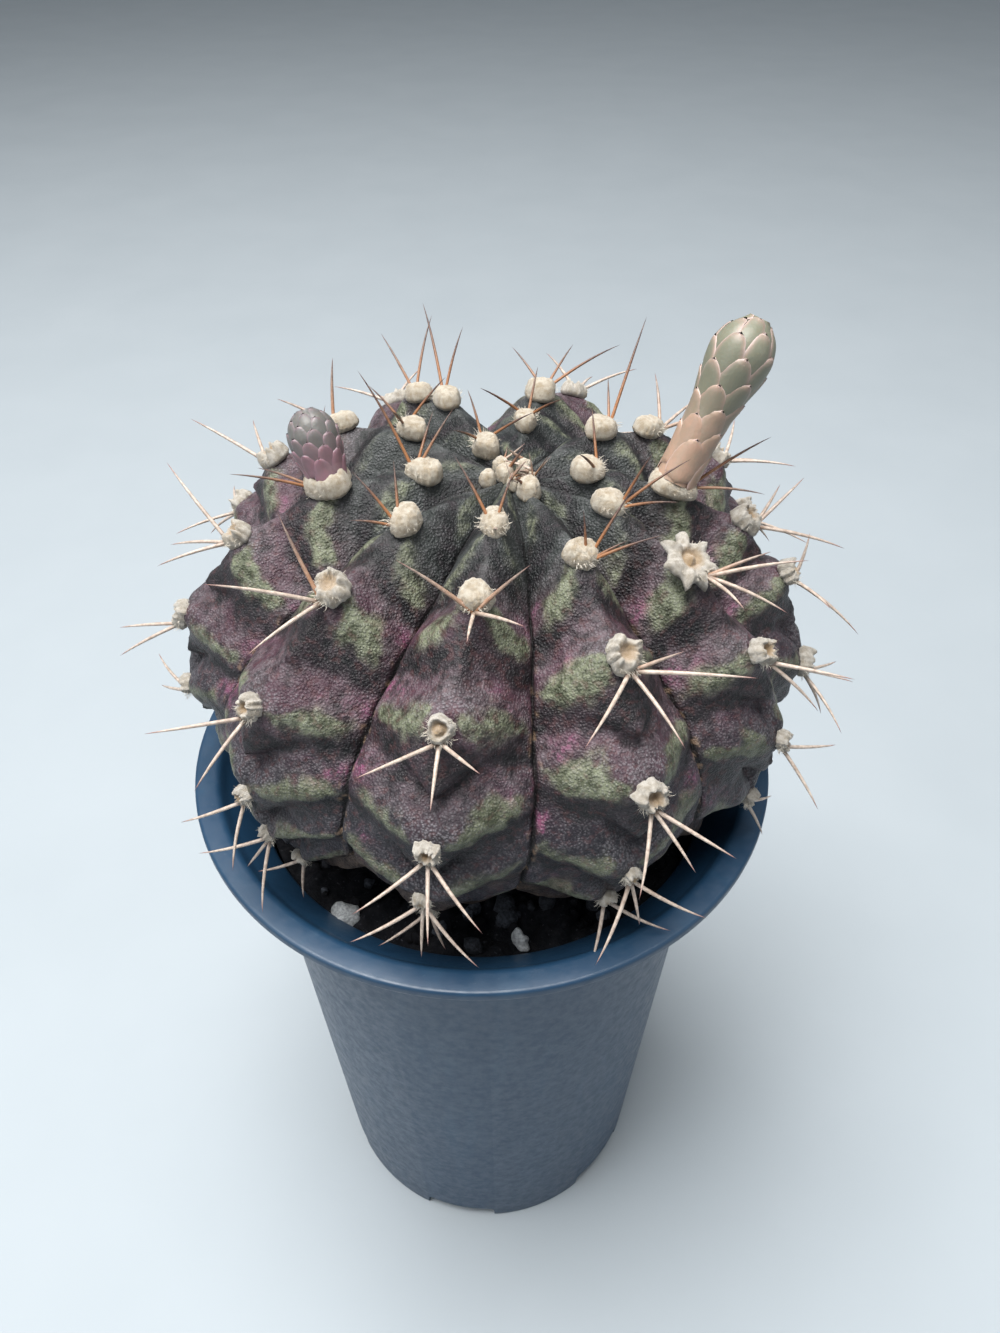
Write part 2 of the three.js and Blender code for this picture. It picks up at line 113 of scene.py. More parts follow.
sky = bpy.data.worlds.new("soft_sky")
bpy.context.scene.world = sky
sky.use_nodes = True
backdrop = sky.node_tree.nodes["Background"]
backdrop.inputs["Color"].default_value = SKY_COLOUR
backdrop.inputs["Strength"].default_value = SKY_STRENGTH
bpy.context.scene.view_settings.view_transform = "Standard"


class Finish:
    """A material built up node by node on the piece's own coordinates. Sizes are in millimetres."""

    def __init__(self, name, roughness=0.5):
        self.material = bpy.data.materials.new(name)
        self.material.use_nodes = True
        self.tree = self.material.node_tree
        self.shader = self.tree.nodes["Principled BSDF"]
        self.shader.inputs["Roughness"].default_value = roughness
        self.place = self.tree.nodes.new("ShaderNodeTexCoord").outputs["Object"]

    def tool(self, kind, settings=None, *inputs, **named):
        """Adds a node with its settings, and fills its inputs in order or by their names."""
        node = self.tree.nodes.new("ShaderNode" + kind)
        for key, value in (settings or {}).items():
            setattr(node, key, value)
        for key, value in [*enumerate(inputs), *named.items()]:
            self.plug(node.inputs[key], value)
        return node

    def plug(self, socket, value):
        """Joins another node's output to a socket, or writes a plain value in it."""
        if isinstance(value, bpy.types.NodeSocket):
            self.tree.links.new(value, socket)
        else:
            socket.default_value = value

    def noise(self, size, detail=4.0, roughness=0.55, where=None, distortion=0.0):
        """Cloudy noise with lumps of about size, from 0 to 1."""
        node = self.tool(
            "TexNoise",
            Vector=where or self.place,
            Scale=1.0 / (size * MM),
            Detail=detail,
            Roughness=roughness,
            Distortion=distortion,
        )
        return node.outputs["Fac"]

    def cells(self, size):
        """Distance to the nearest of scattered points that lie about size apart."""
        node = self.tool("TexVoronoi", {"feature": "F1"}, Vector=self.place, Scale=1.0 / (size * MM))
        return node.outputs["Distance"]

    def stretch(self, scale):
        """The object's own coordinates, scaled along each axis."""
        return self.tool("Mapping", Vector=self.place, Scale=scale).outputs["Vector"]

    def given(self, name):
        """A number that the mesh holds at each of its points."""
        return self.tool("Attribute", {"attribute_name": name}).outputs["Fac"]

    def steps(self, value, low, high, start=0.0, end=1.0):
        """value taken from low..high to start..end and held there, with soft ends."""
        soft = {"interpolation_type": "SMOOTHSTEP"}
        return self.tool("MapRange", soft, value, low, high, start, end).outputs[0]

    def times(self, first, second):
        return self.tool("Math", {"operation": "MULTIPLY"}, first, second).outputs[0]

    def plus(self, first, second):
        return self.tool("Math", {"operation": "ADD"}, first, second).outputs[0]

    def mix(self, share, first, second):
        """Colours first and second, each linear red, green and blue, mixed by share."""
        node = self.tree.nodes.new("ShaderNodeMix")
        node.data_type = "RGBA"
        for index, value in ((0, share), (6, first), (7, second)):
            self.plug(node.inputs[index], (*value, 1.0) if isinstance(value, tuple) else value)
        return node.outputs[2]

    def fade(self, value, low, high, first, second, most=1.0):
        """Colour first, mixed with second by a share that grows to most as value goes from low to high."""
        return self.mix(self.steps(value, low, high, 0.0, most), first, second)

    def bump(self, height, depth, strength=1.0, under=None):
        """Raises the surface by height times depth, on top of the bump under it."""
        inputs = {"Height": height, "Distance": depth * MM, "Strength": strength}
        if under:
            inputs["Normal"] = under
        return self.tool("Bump", **inputs).outputs["Normal"]

    def set(self, **inputs):
        """Fills inputs of the surface shader, whose names are written with _ for a space."""
        for key, value in inputs.items():
            self.plug(self.shader.inputs[key.replace("_", " ")], value)


def full_circle(count):
    """count even turns about an axis, in radians."""
    return np.linspace(0, 2 * math.pi, count, endpoint=False)


def turned(profile, sides):
    """Points at profile's radius and height, at even turns about the upright axis."""
    turns = full_circle(sides)[None, :]
    radius, height = profile[:, :1], profile[:, 1:]
    return np.stack([radius * np.cos(turns), radius * np.sin(turns), height + 0 * turns], axis=-1)


def grid_faces(rows, columns, first=0):
    """Four-cornered faces of a grid of points that closes round on itself along its columns."""
    i = np.arange(rows - 1)[:, None] * columns + first
    j = np.arange(columns)[None, :]
    k = (j + 1) % columns
    return np.stack([i + j, i + k, i + columns + k, i + columns + j], axis=-1).reshape(-1, 4)


def faces_of_each(count, rows, columns):
    """The faces of count such grids, whose points follow one another."""
    starts = np.arange(count)[:, None, None] * rows * columns
    return (grid_faces(rows, columns)[None] + starts).reshape(-1, 4)


def make_piece(name, points, faces, finish, values=None, smooth_below=180.0):
    """Points in millimetres and faces become an object at the origin. Doubled points at poles are merged
    and faces turned outwards. values holds named numbers for each point."""
    mesh = bpy.data.meshes.new(name)
    mesh.from_pydata((points * MM).tolist(), [], faces.tolist())
    for key, numbers in (values or {}).items():
        held = mesh.attributes.new(key, "FLOAT", "POINT")
        held.data.foreach_set("value", numbers.astype(np.float32).ravel())
    piece = bpy.data.objects.new(name, mesh)
    bpy.context.scene.collection.objects.link(piece)
    close_up(mesh)
    smooth_faces(mesh, smooth_below)
    mesh.materials.append(finish.material)
    return piece


def close_up(mesh):
    """Merges points closer than a hundredth of a micrometre, drops collapsed faces and turns the rest out."""
    shell = bmesh.new()
    shell.from_mesh(mesh)
    bmesh.ops.remove_doubles(shell, verts=shell.verts, dist=1e-8)
    bmesh.ops.dissolve_degenerate(shell, edges=shell.edges, dist=1e-9)
    bmesh.ops.recalc_face_normals(shell, faces=shell.faces)
    shell.to_mesh(mesh)
    shell.free()


def smooth_faces(mesh, smooth_below):
    """Smooth shading, with a sharp edge where two faces meet at more than smooth_below degrees."""
    mesh.polygons.foreach_set("use_smooth", np.ones(len(mesh.polygons), dtype=bool))
    mesh.set_sharp_from_angle(angle=math.radians(smooth_below))


def make_floor():
    """A flat round sheet, a metre and a half in radius, at the pot's foot."""
    points = turned(np.array([(radius, 0.0) for radius in FLOOR_RADII]), FLOOR_SIDES)
    paint = Finish("pale_floor", 0.7)
    paint.set(Base_Color=paint.mix(paint.noise(40.0), (0.34, 0.38, 0.41), (0.38, 0.42, 0.45)))
    floor = make_piece("floor", points.reshape(-1, 3), grid_faces(len(FLOOR_RADII), FLOOR_SIDES), paint)


make_floor()

# The pot: a thin-walled nursery pot, injection moulded in slate-blue polypropylene. A flat lip on a flared
# neck stiffens the mouth, and six notches round the foot let the water out.
LIP_INNER_RADIUS = 32.2
LIP_THICKNESS = 1.4
NECK_HEIGHT = 4.8
BASE_RADIUS = 24.6
WALL_TAPER = 0.048
WALL_THICKNESS = 0.9
FLOOR_THICKNESS = 1.3
WALL_CORNER_RADIUS = 0.6
POT_SIDES = 224
POT_SMOOTH_BELOW = 35.0
DRAIN_NOTCHES = 6
DRAIN_NOTCH_SIZE = (8.0, 11.0, 6.0)
DRAIN_NOTCH_CORNER_RADIUS = 1.2
FIRST_DRAIN_NOTCH_TURN = 18.0


def rounded(corners, radius, steps=5):
    """A line through corners with each inner corner cut back by radius, or a third of its shorter side, and
    bridged by a parabola."""
    corners = np.array(corners, dtype=float)
    line = [corners[:1]]
    for before, corner, after in zip(corners[:-2], corners[1:-1], corners[2:]):
        cut = min(radius, np.linalg.norm(before - corner) / 3, np.linalg.norm(after - corner) / 3)
        start = corner + unit(before - corner) * cut
        end = corner + unit(after - corner) * cut
        t = np.linspace(0, 1, steps)[:, None]
        line.append((1 - t) ** 2 * start + 2 * t * (1 - t) * corner + t ** 2 * end)
    line.append(corners[-1:])
    return np.concatenate(line)


def pot_outer_radius(height):
    return BASE_RADIUS + WALL_TAPER * height


def notch_blocks():
    """One mesh of rounded blocks, each a slab that stands across the wall's foot at its own turn."""
    deep, wide, high = np.array(DRAIN_NOTCH_SIZE) / 2
    outline = rounded([[-wide, -high], [-wide, high], [wide, high], [wide, -high]], DRAIN_NOTCH_CORNER_RADIUS)
    count = len(outline)
    slab = np.stack([np.insert(outline, 0, BASE_RADIUS + depth, axis=1) for depth in (-deep, deep)])
    blocks, faces = [], []
    for i in range(DRAIN_NOTCHES):
        turn = math.radians(FIRST_DRAIN_NOTCH_TURN + 360 / DRAIN_NOTCHES * i)
        cosine, sine = math.cos(turn), math.sin(turn)
        spin = np.array([[cosine, -sine, 0], [sine, cosine, 0], [0, 0, 1]])
        blocks.append((slab @ spin.T).reshape(-1, 3))
        near = i * 2 * count + np.arange(count)
        far = near + count
        faces += [near.tolist(), far[::-1].tolist()]
        faces += np.stack([near, np.roll(near, -1), np.roll(far, -1), far], axis=-1).tolist()
    mesh = bpy.data.meshes.new("notch_cutter")
    mesh.from_pydata((np.concatenate(blocks) * MM).tolist(), [], faces)
    close_up(mesh)
    return mesh


def make_pot():
    """The wall's profile turned about the axis, less a rounded block at each drain notch."""
    neck_foot = RIM_HEIGHT - NECK_HEIGHT
    lip_under = RIM_HEIGHT - LIP_THICKNESS
    profile = rounded(
        [
            [0, 0],
            [BASE_RADIUS, 0],
            [pot_outer_radius(neck_foot), neck_foot],
            [LIP_INNER_RADIUS, lip_under],
            [RIM_RADIUS, lip_under],
            [RIM_RADIUS, RIM_HEIGHT],
            [LIP_INNER_RADIUS, RIM_HEIGHT],
            [LIP_INNER_RADIUS - WALL_THICKNESS, lip_under],
            [pot_outer_radius(neck_foot) - WALL_THICKNESS, neck_foot],
            [pot_outer_radius(FLOOR_THICKNESS) - WALL_THICKNESS, FLOOR_THICKNESS],
            [0, FLOOR_THICKNESS],
        ],
        WALL_CORNER_RADIUS,
    )
    points = turned(profile, POT_SIDES).reshape(-1, 3)
    pot = make_piece("nursery_pot", points, grid_faces(len(profile), POT_SIDES), plastic)
    cutter = bpy.data.objects.new("notch_cutter", notch_blocks())
    bpy.context.scene.collection.objects.link(cutter)
    cut = pot.modifiers.new("notches", "BOOLEAN")
    cut.operation = "DIFFERENCE"
    cut.object = cutter
    cut.solver = "EXACT"
    pot.data = bpy.data.meshes.new_from_object(pot.evaluated_get(bpy.context.evaluated_depsgraph_get()))
    pot.modifiers.clear()
    bpy.data.objects.remove(cutter)
    smooth_faces(pot.data, POT_SMOOTH_BELOW)
    return pot


plastic = Finish("slate_blue_plastic")
scuffs = plastic.noise(1.4, 6.0, 0.7)
streaks = plastic.noise(3.0, 3.0, where=plastic.stretch((1.0, 1.0, 0.12)))
tone = plastic.mix(plastic.noise(9.0, 3.0), (0.009, 0.034, 0.075), (0.013, 0.045, 0.09))
tone = plastic.fade(streaks, 0.5, 0.8, tone, (0.022, 0.066, 0.12), 0.35)
tone = plastic.fade(plastic.noise(0.35, 2.0), 0.7, 0.78, tone, (0.08, 0.12, 0.16), 0.3)
plastic.set(
    Base_Color=tone,
    Roughness=plastic.steps(scuffs, 0.3, 0.75, 0.34, 0.52),
    Normal=plastic.bump(scuffs, 0.05, 0.5),
)
pot = make_pot()
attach(pot, "root")
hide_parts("pot")

# The potting mix: dark fibrous humus with grey pumice grit, pressed in by hand and settled by watering.
# Loose lumps and grains lie on top, and the stem has sunk a shallow dent in it.
SOIL_HEIGHT = 80.6
STEM_AXIS = np.array([1.6, 3.0])
STEM_CENTRE_HEIGHT = 103.0
STEM_RADIUS = 34.2
STEM_UPPER_HEIGHT = 24.0
STEM_LOWER_HEIGHT = 25.0
FIT_GAP = 0.3
SOIL_LUMPS = ((0.45, 7.0, 3), (0.35, 2.4, 4))
SOIL_RISE_AT_WALL = 0.9
SOIL_SIDES = 240
SOIL_RINGS = 70
STONE_DENTS = 0.13
STONE_DENT_SIZE = 1.3
GRIT_COUNT = 420
GRIT_SIZES = (0.5, 1.5)
GRIT_NEAREST = 15.0
GRIT_WALL_GAP = 2.4
WHITE_GRAIN_SPOTS = np.array([[-15.6, -21.6, 82.2], [3.7, -25.2, 81.9]])
WHITE_GRAIN_SIZES = np.array([1.6, 1.1])


def ripples(points, size, seed, count=24):
    """Smooth noise at each point: the mean of count sine waves about size millimetres long, in random
    directions and phases, scaled to a spread of about one."""
    chance = np.random.default_rng(seed)
    waves = unit(chance.normal(size=(count, 3))) * chance.uniform(0.6, 1.6, (count, 1)) * 2 * math.pi / size
    phases = chance.uniform(0, 2 * math.pi, count)
    return np.sin(points @ waves.T + phases).sum(axis=-1) / math.sqrt(count / 2)


def swell(points, waves):
    """The sum of ripples, each given by its height, its size and its seed."""
    return sum(height * ripples(points, size, seed) for height, size, seed in waves)


def soil_top(x, y):
    """Height of the mix: level with lumps of two sizes, a little higher at the wall, and kept under the
    stem's round underside."""
    flat = np.stack([x, y, 0 * x], axis=-1)
    reach = np.hypot(x, y) / pot_outer_radius(SOIL_HEIGHT)
    lumps = swell(flat, SOIL_LUMPS) + SOIL_RISE_AT_WALL * reach ** 6
    span = np.clip(np.hypot(x - STEM_AXIS[0], y - STEM_AXIS[1]) / STEM_RADIUS, 0, 1)
    under = STEM_CENTRE_HEIGHT - STEM_LOWER_HEIGHT * np.sqrt(1 - span ** 2) - 2 * FIT_GAP
    return np.minimum(SOIL_HEIGHT + lumps, under)


def make_soil():
    """A plug with the pot's inner shape, its top sunk and raised by soil_top."""
    wall = WALL_THICKNESS + FIT_GAP
    foot = FLOOR_THICKNESS + FIT_GAP
    rings = np.linspace(pot_outer_radius(SOIL_HEIGHT) - wall, 0, SOIL_RINGS)
    profile = np.concatenate([
        [[0, foot], [pot_outer_radius(foot) - wall, foot]],
        np.stack([rings, 0 * rings + SOIL_HEIGHT], axis=-1),
    ])
    points = turned(profile, SOIL_SIDES)
    points[2:, :, 2] = soil_top(points[2:, :, 0], points[2:, :, 1])
    return make_piece("potting_mix", points.reshape(-1, 3), grid_faces(len(profile), SOIL_SIDES), humus)


def make_grains(name, finish, spots, sizes, seed, sides=8, rows=6):
    """Stones: balls of rows by sides points, squashed along random axes and dented by noise."""
    chance = np.random.default_rng(seed)
    down = np.linspace(0, math.pi, rows)
    ball = turned(np.stack([np.sin(down), np.cos(down)], axis=-1), sides)
    squash = chance.uniform(0.6, 1.15, (len(spots), 1, 3))
    spins = np.linalg.qr(chance.normal(size=(len(spots), 3, 3)))[0]
    spins *= np.sign(np.linalg.det(spins))[:, None, None]
    stones = (ball.reshape(1, -1, 3) * squash) @ spins
    dents = STONE_DENTS * ripples(stones + spots[:, None] * 3, STONE_DENT_SIZE, seed)
    stones = stones * (1 + dents[..., None]) * sizes[:, None, None] + spots[:, None]
    faces = faces_of_each(len(spots), rows, sides)
    tint = np.repeat(chance.uniform(0, 1, len(spots)), rows * sides)
    return make_piece(name, stones.reshape(-1, 3), faces, finish, {"tint": tint}, smooth_below=50)


def scatter(count, low, high, seed):
    """Places on the mix between the stem's foot and the wall, each with a grain size from low to high."""
    chance = np.random.default_rng(seed)
    sizes = chance.uniform(low, high, count) * chance.uniform(0.6, 1.0, count)
    far = pot_outer_radius(SOIL_HEIGHT) - GRIT_WALL_GAP
    reach = np.sqrt(chance.uniform(GRIT_NEAREST ** 2, far ** 2, count)) - 0.3 * sizes
    turn = chance.uniform(0, 2 * math.pi, count)
    x, y = reach * np.sin(turn), -reach * np.cos(turn)
    return np.stack([x, y, soil_top(x, y) + 0.25 * sizes], axis=-1), sizes


humus = Finish("dark_humus", 0.95)
clods = humus.noise(1.1, 8.0, 0.7)
soil_tone = humus.fade(clods, 0.35, 0.7, (0.003, 0.004, 0.007), (0.014, 0.014, 0.017))
soil_tone = humus.fade(humus.noise(0.45, 3.0), 0.62, 0.72, soil_tone, (0.05, 0.052, 0.06))
humus.set(Base_Color=soil_tone, Normal=humus.bump(clods, 0.9, 0.9), Specular_IOR_Level=0.25)
soil = make_soil()
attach(soil, "root")
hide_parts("soil")

grit = Finish("mixed_grit", 0.9)
pores = grit.noise(0.35, 5.0, 0.65)
shade = grit.steps(grit.given("tint"), 0.45, 0.95)
grit_tone = grit.mix(shade, (0.007, 0.007, 0.01), (0.085, 0.095, 0.115))
grit_tone = grit.fade(pores, 0.35, 0.65, grit.mix(0.65, grit_tone, (0.0, 0.0, 0.0)), grit_tone)
grit.set(Base_Color=grit_tone, Normal=grit.bump(pores, 0.35, 0.8), Specular_IOR_Level=0.3)
crumbs = make_grains("soil_grit", grit, *scatter(GRIT_COUNT, *GRIT_SIZES, 7), 8)
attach(crumbs, "root")

pumice = Finish("white_pumice", 0.9)
holes = pumice.noise(0.4, 5.0, 0.7)
pumice.set(
    Base_Color=pumice.fade(holes, 0.3, 0.7, (0.2, 0.21, 0.22), (0.55, 0.57, 0.58)),
    Normal=pumice.bump(holes, 0.4, 0.8),
)
white = make_grains("white_grains", pumice, WHITE_GRAIN_SPOTS, WHITE_GRAIN_SIZES, 21, sides=20, rows=14)
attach(white, "root")
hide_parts("white_grain_left", "white_grain_front")

# The stem: a squat globe of ten ribs that grew from the sunken crown. Every rib swells at each areole and
# folds into a chin under it. The skin is waxy and covered in tiny bumps.
RIBS = {
    "a": [(-4, 18), (-6, 34), (-10, 58), (-11, 84), (-13, 102), (-14, 117)],
    "b": [(25, 28), (24, 48), (23, 76), (21, 98), (19, 112)],
    "c": [(50, 21), (52, 39), (53, 62), (56, 88), (54, 107)],
    "d": [(76, 13), (78, 29), (80, 46), (78, 62), (77, 88)],
    "e": [(118, 19), (114, 30), (113, 52), (114, 76), (114, 102)],
    "f": [(162, 13), (160, 25), (156, 45), (153, 70), (152, 96)],
    "g": [(203, 7), (201, 22), (209, 29), (204, 52), (201, 82)],
    "h": [(235, 17), (237, 32), (250, 46), (244, 72), (242, 98)],
    "j": [(283, 12), (281, 27), (282, 47), (278, 75), (282, 92)],
    "k": [(321, 22), (319, 39), (315, 67), (314, 90), (315, 104), (319, 114)],
}
UPPER_ROUNDNESS = 2.2
LOWER_ROUNDNESS = 2.0
CROWN_DIP = 3.6
CROWN_DIP_RADIUS = 9.5
CROWN_SHIFT = 1.5
CROWN_SHIFT_RADIUS = 14.0
FURROW_DEPTH = 5.2
FURROW_SHARE_OF_RADIUS = 0.3
FURROW_FADE = 0.6
FURROW_FADE_ANGLES = (58, 100)
BLUNTNESS = 0.1
BLUNTNESS_AT_AREOLE = 0.16
BLUNTNESS_BY_CROWN = 0.3
CRACK_DEPTH = 0.35
WAVE_HEIGHT = 1.3
WAVE_LEAN = (30.0, -9.5, 0.33)
GROWN_RADIUS = 22.0
RIDGE_WIDTH = 0.3
CHIN_ANGLES = (46, 74)
CHIN_END = 0.62
CHIN_SLANT = 0.6
CHIN_HEIGHT = 0.55
CUT_DEPTH = 1.5
SEAT_HEIGHT = 0.4
ROOT_FROM = 166.0
ROOT_LENGTH = 28.0
COLUMNS_PER_FLANK = 26
SKIN_ROWS = 172
SKIN_WAVES = ((0.16, 9.0, 11), (0.07, 3.2, 12), (0.025, 1.3, 13))
STEPS_PER_DEGREE = 4


def soften(value, low, high):
    """0 below low, 1 above high, and a smooth rise between them."""
    t = np.clip((value - low) / (high - low), 0, 1)
    return t * t * (3 - 2 * t)


def bell(value, width):
    """A bell curve: 1 where value is 0, and about a third where it is width away from 0."""
    return np.exp(-((value / width) ** 2))


def crest(angle):
    """Radius and height of the rib crests at an angle down from the crown: two half superellipses, with
    the crown dipped by a bell curve."""
    sine, cosine = np.sin(np.radians(angle)), np.cos(np.radians(angle))
    above = cosine > 0
    power = 2 / np.where(above, UPPER_ROUNDNESS, LOWER_ROUNDNESS)
    tall = np.where(above, STEM_UPPER_HEIGHT, -STEM_LOWER_HEIGHT)
    radius = STEM_RADIUS * np.abs(sine) ** power
    dip = np.where(above, CROWN_DIP * bell(radius, CROWN_DIP_RADIUS), 0)
    return radius, STEM_CENTRE_HEIGHT + tall * np.abs(cosine) ** power - dip


def crest_normal(angle):
    """Outward direction of the crest line, square to its run."""
    low, high = np.maximum(angle - 0.6, 0.05), np.minimum(angle + 0.6, 179.95)
    (r0, z0), (r1, z1) = crest(low), crest(high)
    length = np.hypot(r1 - r0, z1 - z0)
    return -(z1 - z0) / length, (r1 - r0) / length


ANGLES = np.linspace(0, 180, 180 * STEPS_PER_DEGREE + 1)


def smooth_line(numbers, width):
    """A moving average with a bell-shaped weight, width steps wide, with its ends held level."""
    reach = np.arange(-3 * width, 3 * width + 1)
    weight = np.exp(-((reach / width) ** 2) / 2)
    padded = np.pad(numbers, 3 * width, mode="edge")
    return np.convolve(padded, weight / weight.sum(), mode="valid")


def rib_tables():
    """For each rib, its crest's azimuth and its count of areoles passed, at every angle of ANGLES. Beyond
    the first and last areole the count goes on at their spacing."""
    turns, counts = [], []
    beyond = 60
    for areoles in RIBS.values():
        azimuth, place = np.array(areoles, dtype=float).T
        count = np.arange(len(place), dtype=float)
        place_ends = np.concatenate([[place[0] - (place[1] - place[0]) * 3], place, [place[-1] + beyond]])
        count_ends = np.concatenate([[-3], count, [count[-1] + beyond / (place[-1] - place[-2])]])
        turns.append(smooth_line(np.interp(ANGLES, place, azimuth), 10))
        counts.append(np.interp(ANGLES, place_ends, count_ends))
    return np.array(turns), np.array(counts)


RIB_TURNS, RIB_COUNTS = rib_tables()
RIB_NAMES = list(RIBS)


def look_up(table, rib, angle):
    """The value of table's row rib at angle, on a straight line between its entries."""
    step = np.clip(angle, 0, 180) * STEPS_PER_DEGREE
    low = np.minimum(step.astype(int), len(ANGLES) - 2)
    share = step - low
    return table[rib, low] * (1 - share) + table[rib, low + 1] * share


def wave_lean(angle):
    """How many degrees higher the waves run in a furrow than on its crest. Near the crown they hang down
    from the crest, level out halfway, and climb towards the furrow near the foot."""
    start, lean, rise = WAVE_LEAN
    return np.clip(lean + rise * (angle - start), lean, -lean)


def from_areole(count):
    """How far past the nearest areole of its rib a point lies, from -0.5 to 0.5."""
    return (count + 0.5) % 1 - 0.5


def swelling(count, off, angle, grown):
    """How far the skin stands out for the swellings that the areoles sit on. Down the flanks they are plain
    waves. Along the crest the skin stays high from an areole down to a chin, drops sharply behind a V
    whose arms point up, and climbs slowly to the next areole, on a low seat of its own."""
    past = count % 1
    chinned = soften(angle, *CHIN_ANGLES)
    ridge = bell(off, RIDGE_WIDTH)
    flank = (0.4 + 0.6 * soften(off, 0, 0.3)) * (1 - 0.6 * off)
    wave = WAVE_HEIGHT / 2 * np.cos(2 * math.pi * count) * flank
    behind = (past + 1 - CHIN_END + CHIN_SLANT * off) % 1
    cut = np.where(behind < 0.5, bell(behind, 0.18), bell(behind - 1, 0.035))
    chin = bell(past - CHIN_END + 0.12 + CHIN_SLANT * off, 0.12)
    seat = SEAT_HEIGHT * bell(from_areole(past), 0.16)
    return grown * (wave + ridge * (chinned * (CHIN_HEIGHT * chin - CUT_DEPTH * cut) + seat))


def skin(rib, side, angle):
    """Points of the skin, and its pattern. side runs from 0 on rib's crest to 1 on the next rib's crest,
    with the furrow halfway. The point is on the crest's oval, moved along its normal: out for the
    swellings, in for the furrow, whose flanks are flat with a crack at the bottom. off is 0 on a crest and
    1 in a furrow, count is how many areoles of its rib the point has passed, and nearest is that rib."""
    rib, side, angle = np.broadcast_arrays(rib, side, np.asarray(angle, dtype=float))
    after = (rib + 1) % len(RIBS)
    start = look_up(RIB_TURNS, rib, angle)
    azimuth = np.radians(start + side * ((look_up(RIB_TURNS, after, angle) - start) % 360))
    nearest = np.where(side <= 0.5, rib, after)
    off = np.where(side <= 0.5, 2 * side, 2 - 2 * side)
    count = look_up(RIB_COUNTS, nearest, angle + wave_lean(angle) * off)
    radius, height = crest(angle)
    out_r, out_z = crest_normal(angle)
    grown = np.clip(radius / GROWN_RADIUS, 0, 1)
    blunt = BLUNTNESS + BLUNTNESS_AT_AREOLE * bell(from_areole(count), 0.2)
    blunt = blunt + BLUNTNESS_BY_CROWN * (1 - soften(angle, 18, 38))
    valley = (np.sqrt(off ** 2 + blunt ** 2) - blunt) / (np.sqrt(1 + blunt ** 2) - blunt)
    depth = np.minimum(FURROW_DEPTH, FURROW_SHARE_OF_RADIUS * radius)
    depth = depth * (1 - FURROW_FADE * soften(angle, *FURROW_FADE_ANGLES))
    out = swelling(count, off, angle, grown) - depth * valley - CRACK_DEPTH * grown * soften(off, 0.955, 1.0)
    out = out * (1 - soften(angle, 150, ROOT_FROM))
    shift = np.where(angle < 90, CROWN_SHIFT * bell(radius, CROWN_SHIFT_RADIUS), 0)
    spread = np.maximum(radius + out_r * out, 0)
    points = np.stack([
        STEM_AXIS[0] + shift + spread * np.sin(azimuth),
        STEM_AXIS[1] - spread * np.cos(azimuth),
        height + out_z * out,
    ], axis=-1)
    return points, off, count, nearest


def turn_from_crest(points, nearest, angle):
    """Positive to the right of the nearest rib's crest, seen from outside, and negative to its left."""
    turn = np.degrees(np.arctan2(points[..., 0] - STEM_AXIS[0], STEM_AXIS[1] - points[..., 1]))
    return (turn - look_up(RIB_TURNS, nearest, angle) + 180) % 360 - 180


def markings(points, off, count, nearest, angle):
    """Strengths of the skin's markings. Pale green bands run from each areole down both flanks of its rib,
    each with a strength and an offset of its own, and painted near-black shade, partly the skin's own dark
    pigment, fills the dips between them. Above every areole the crest has a painted pale highlight and the
    furrow a magenta blush. Cork spreads over the oldest skin by the soil, and scabs lie in the furrows.
    Places along a rib are shares of an areole's spacing."""
    chance = np.random.default_rng(5)
    own = chance.uniform(0.55, 1.0, (len(RIBS), 9, 2))
    drift = chance.uniform(-0.04, 0.05, (len(RIBS), 9, 2))
    side = (turn_from_crest(points, nearest, angle) > 0).astype(int)
    number = np.clip(np.round(count).astype(int) + 1, 0, 8)
    mark = (nearest, number, side)
    cloud = ripples(points, 7.0, 41)
    fine = ripples(points, 2.4, 42)
    step = count - np.round(count) - drift[mark] + 0.03 * fine + 0.03 * cloud
    grown = soften(angle, 22, 38)
    edge = 1 - soften(angle, 104, 116)
    wide = 0.17 + 0.035 * cloud + 0.07 * (1 - soften(angle, 30, 60))
    band = bell(step - 0.02, wide) * own[mark] * soften(off + 0.06 * fine, 0.06, 0.32)
    band = band * (1 - 0.75 * soften(off + 0.06 * cloud, 0.75, 0.98))
    blush = bell(step % 1 - 0.78, 0.13) * soften(off + 0.1 * fine, 0.45, 0.9) * soften(cloud, -0.6, 0.9)
    dark = np.exp(-((np.abs((step + 0.02 * fine) % 1 - 0.34) / 0.21) ** 4))
    # painted highlight: a pale patch on the crest just above each areole
    crest_glint = bell(step % 1 - 0.84, 0.11) * (1 - soften(off, 0.15, 0.5)) * soften(angle, 12, 30)
    return {
        "band": band * edge * (0.5 + 0.5 * grown),
        "blush": blush * edge * grown * (1 - 0.6 * soften(angle, 80, 95)),
        "dark": dark * (1 - 0.3 * soften(cloud, 0.4, 1.6)),
        "crest_glint": crest_glint * edge,
        "cork": soften(angle + 5 * cloud + 14 * off, 112, 128),
        "scab": soften(off, 0.92, 0.97) * soften(ripples(points, 1.6, 43), 0.9, 1.5) * soften(angle, 30, 60),
    }


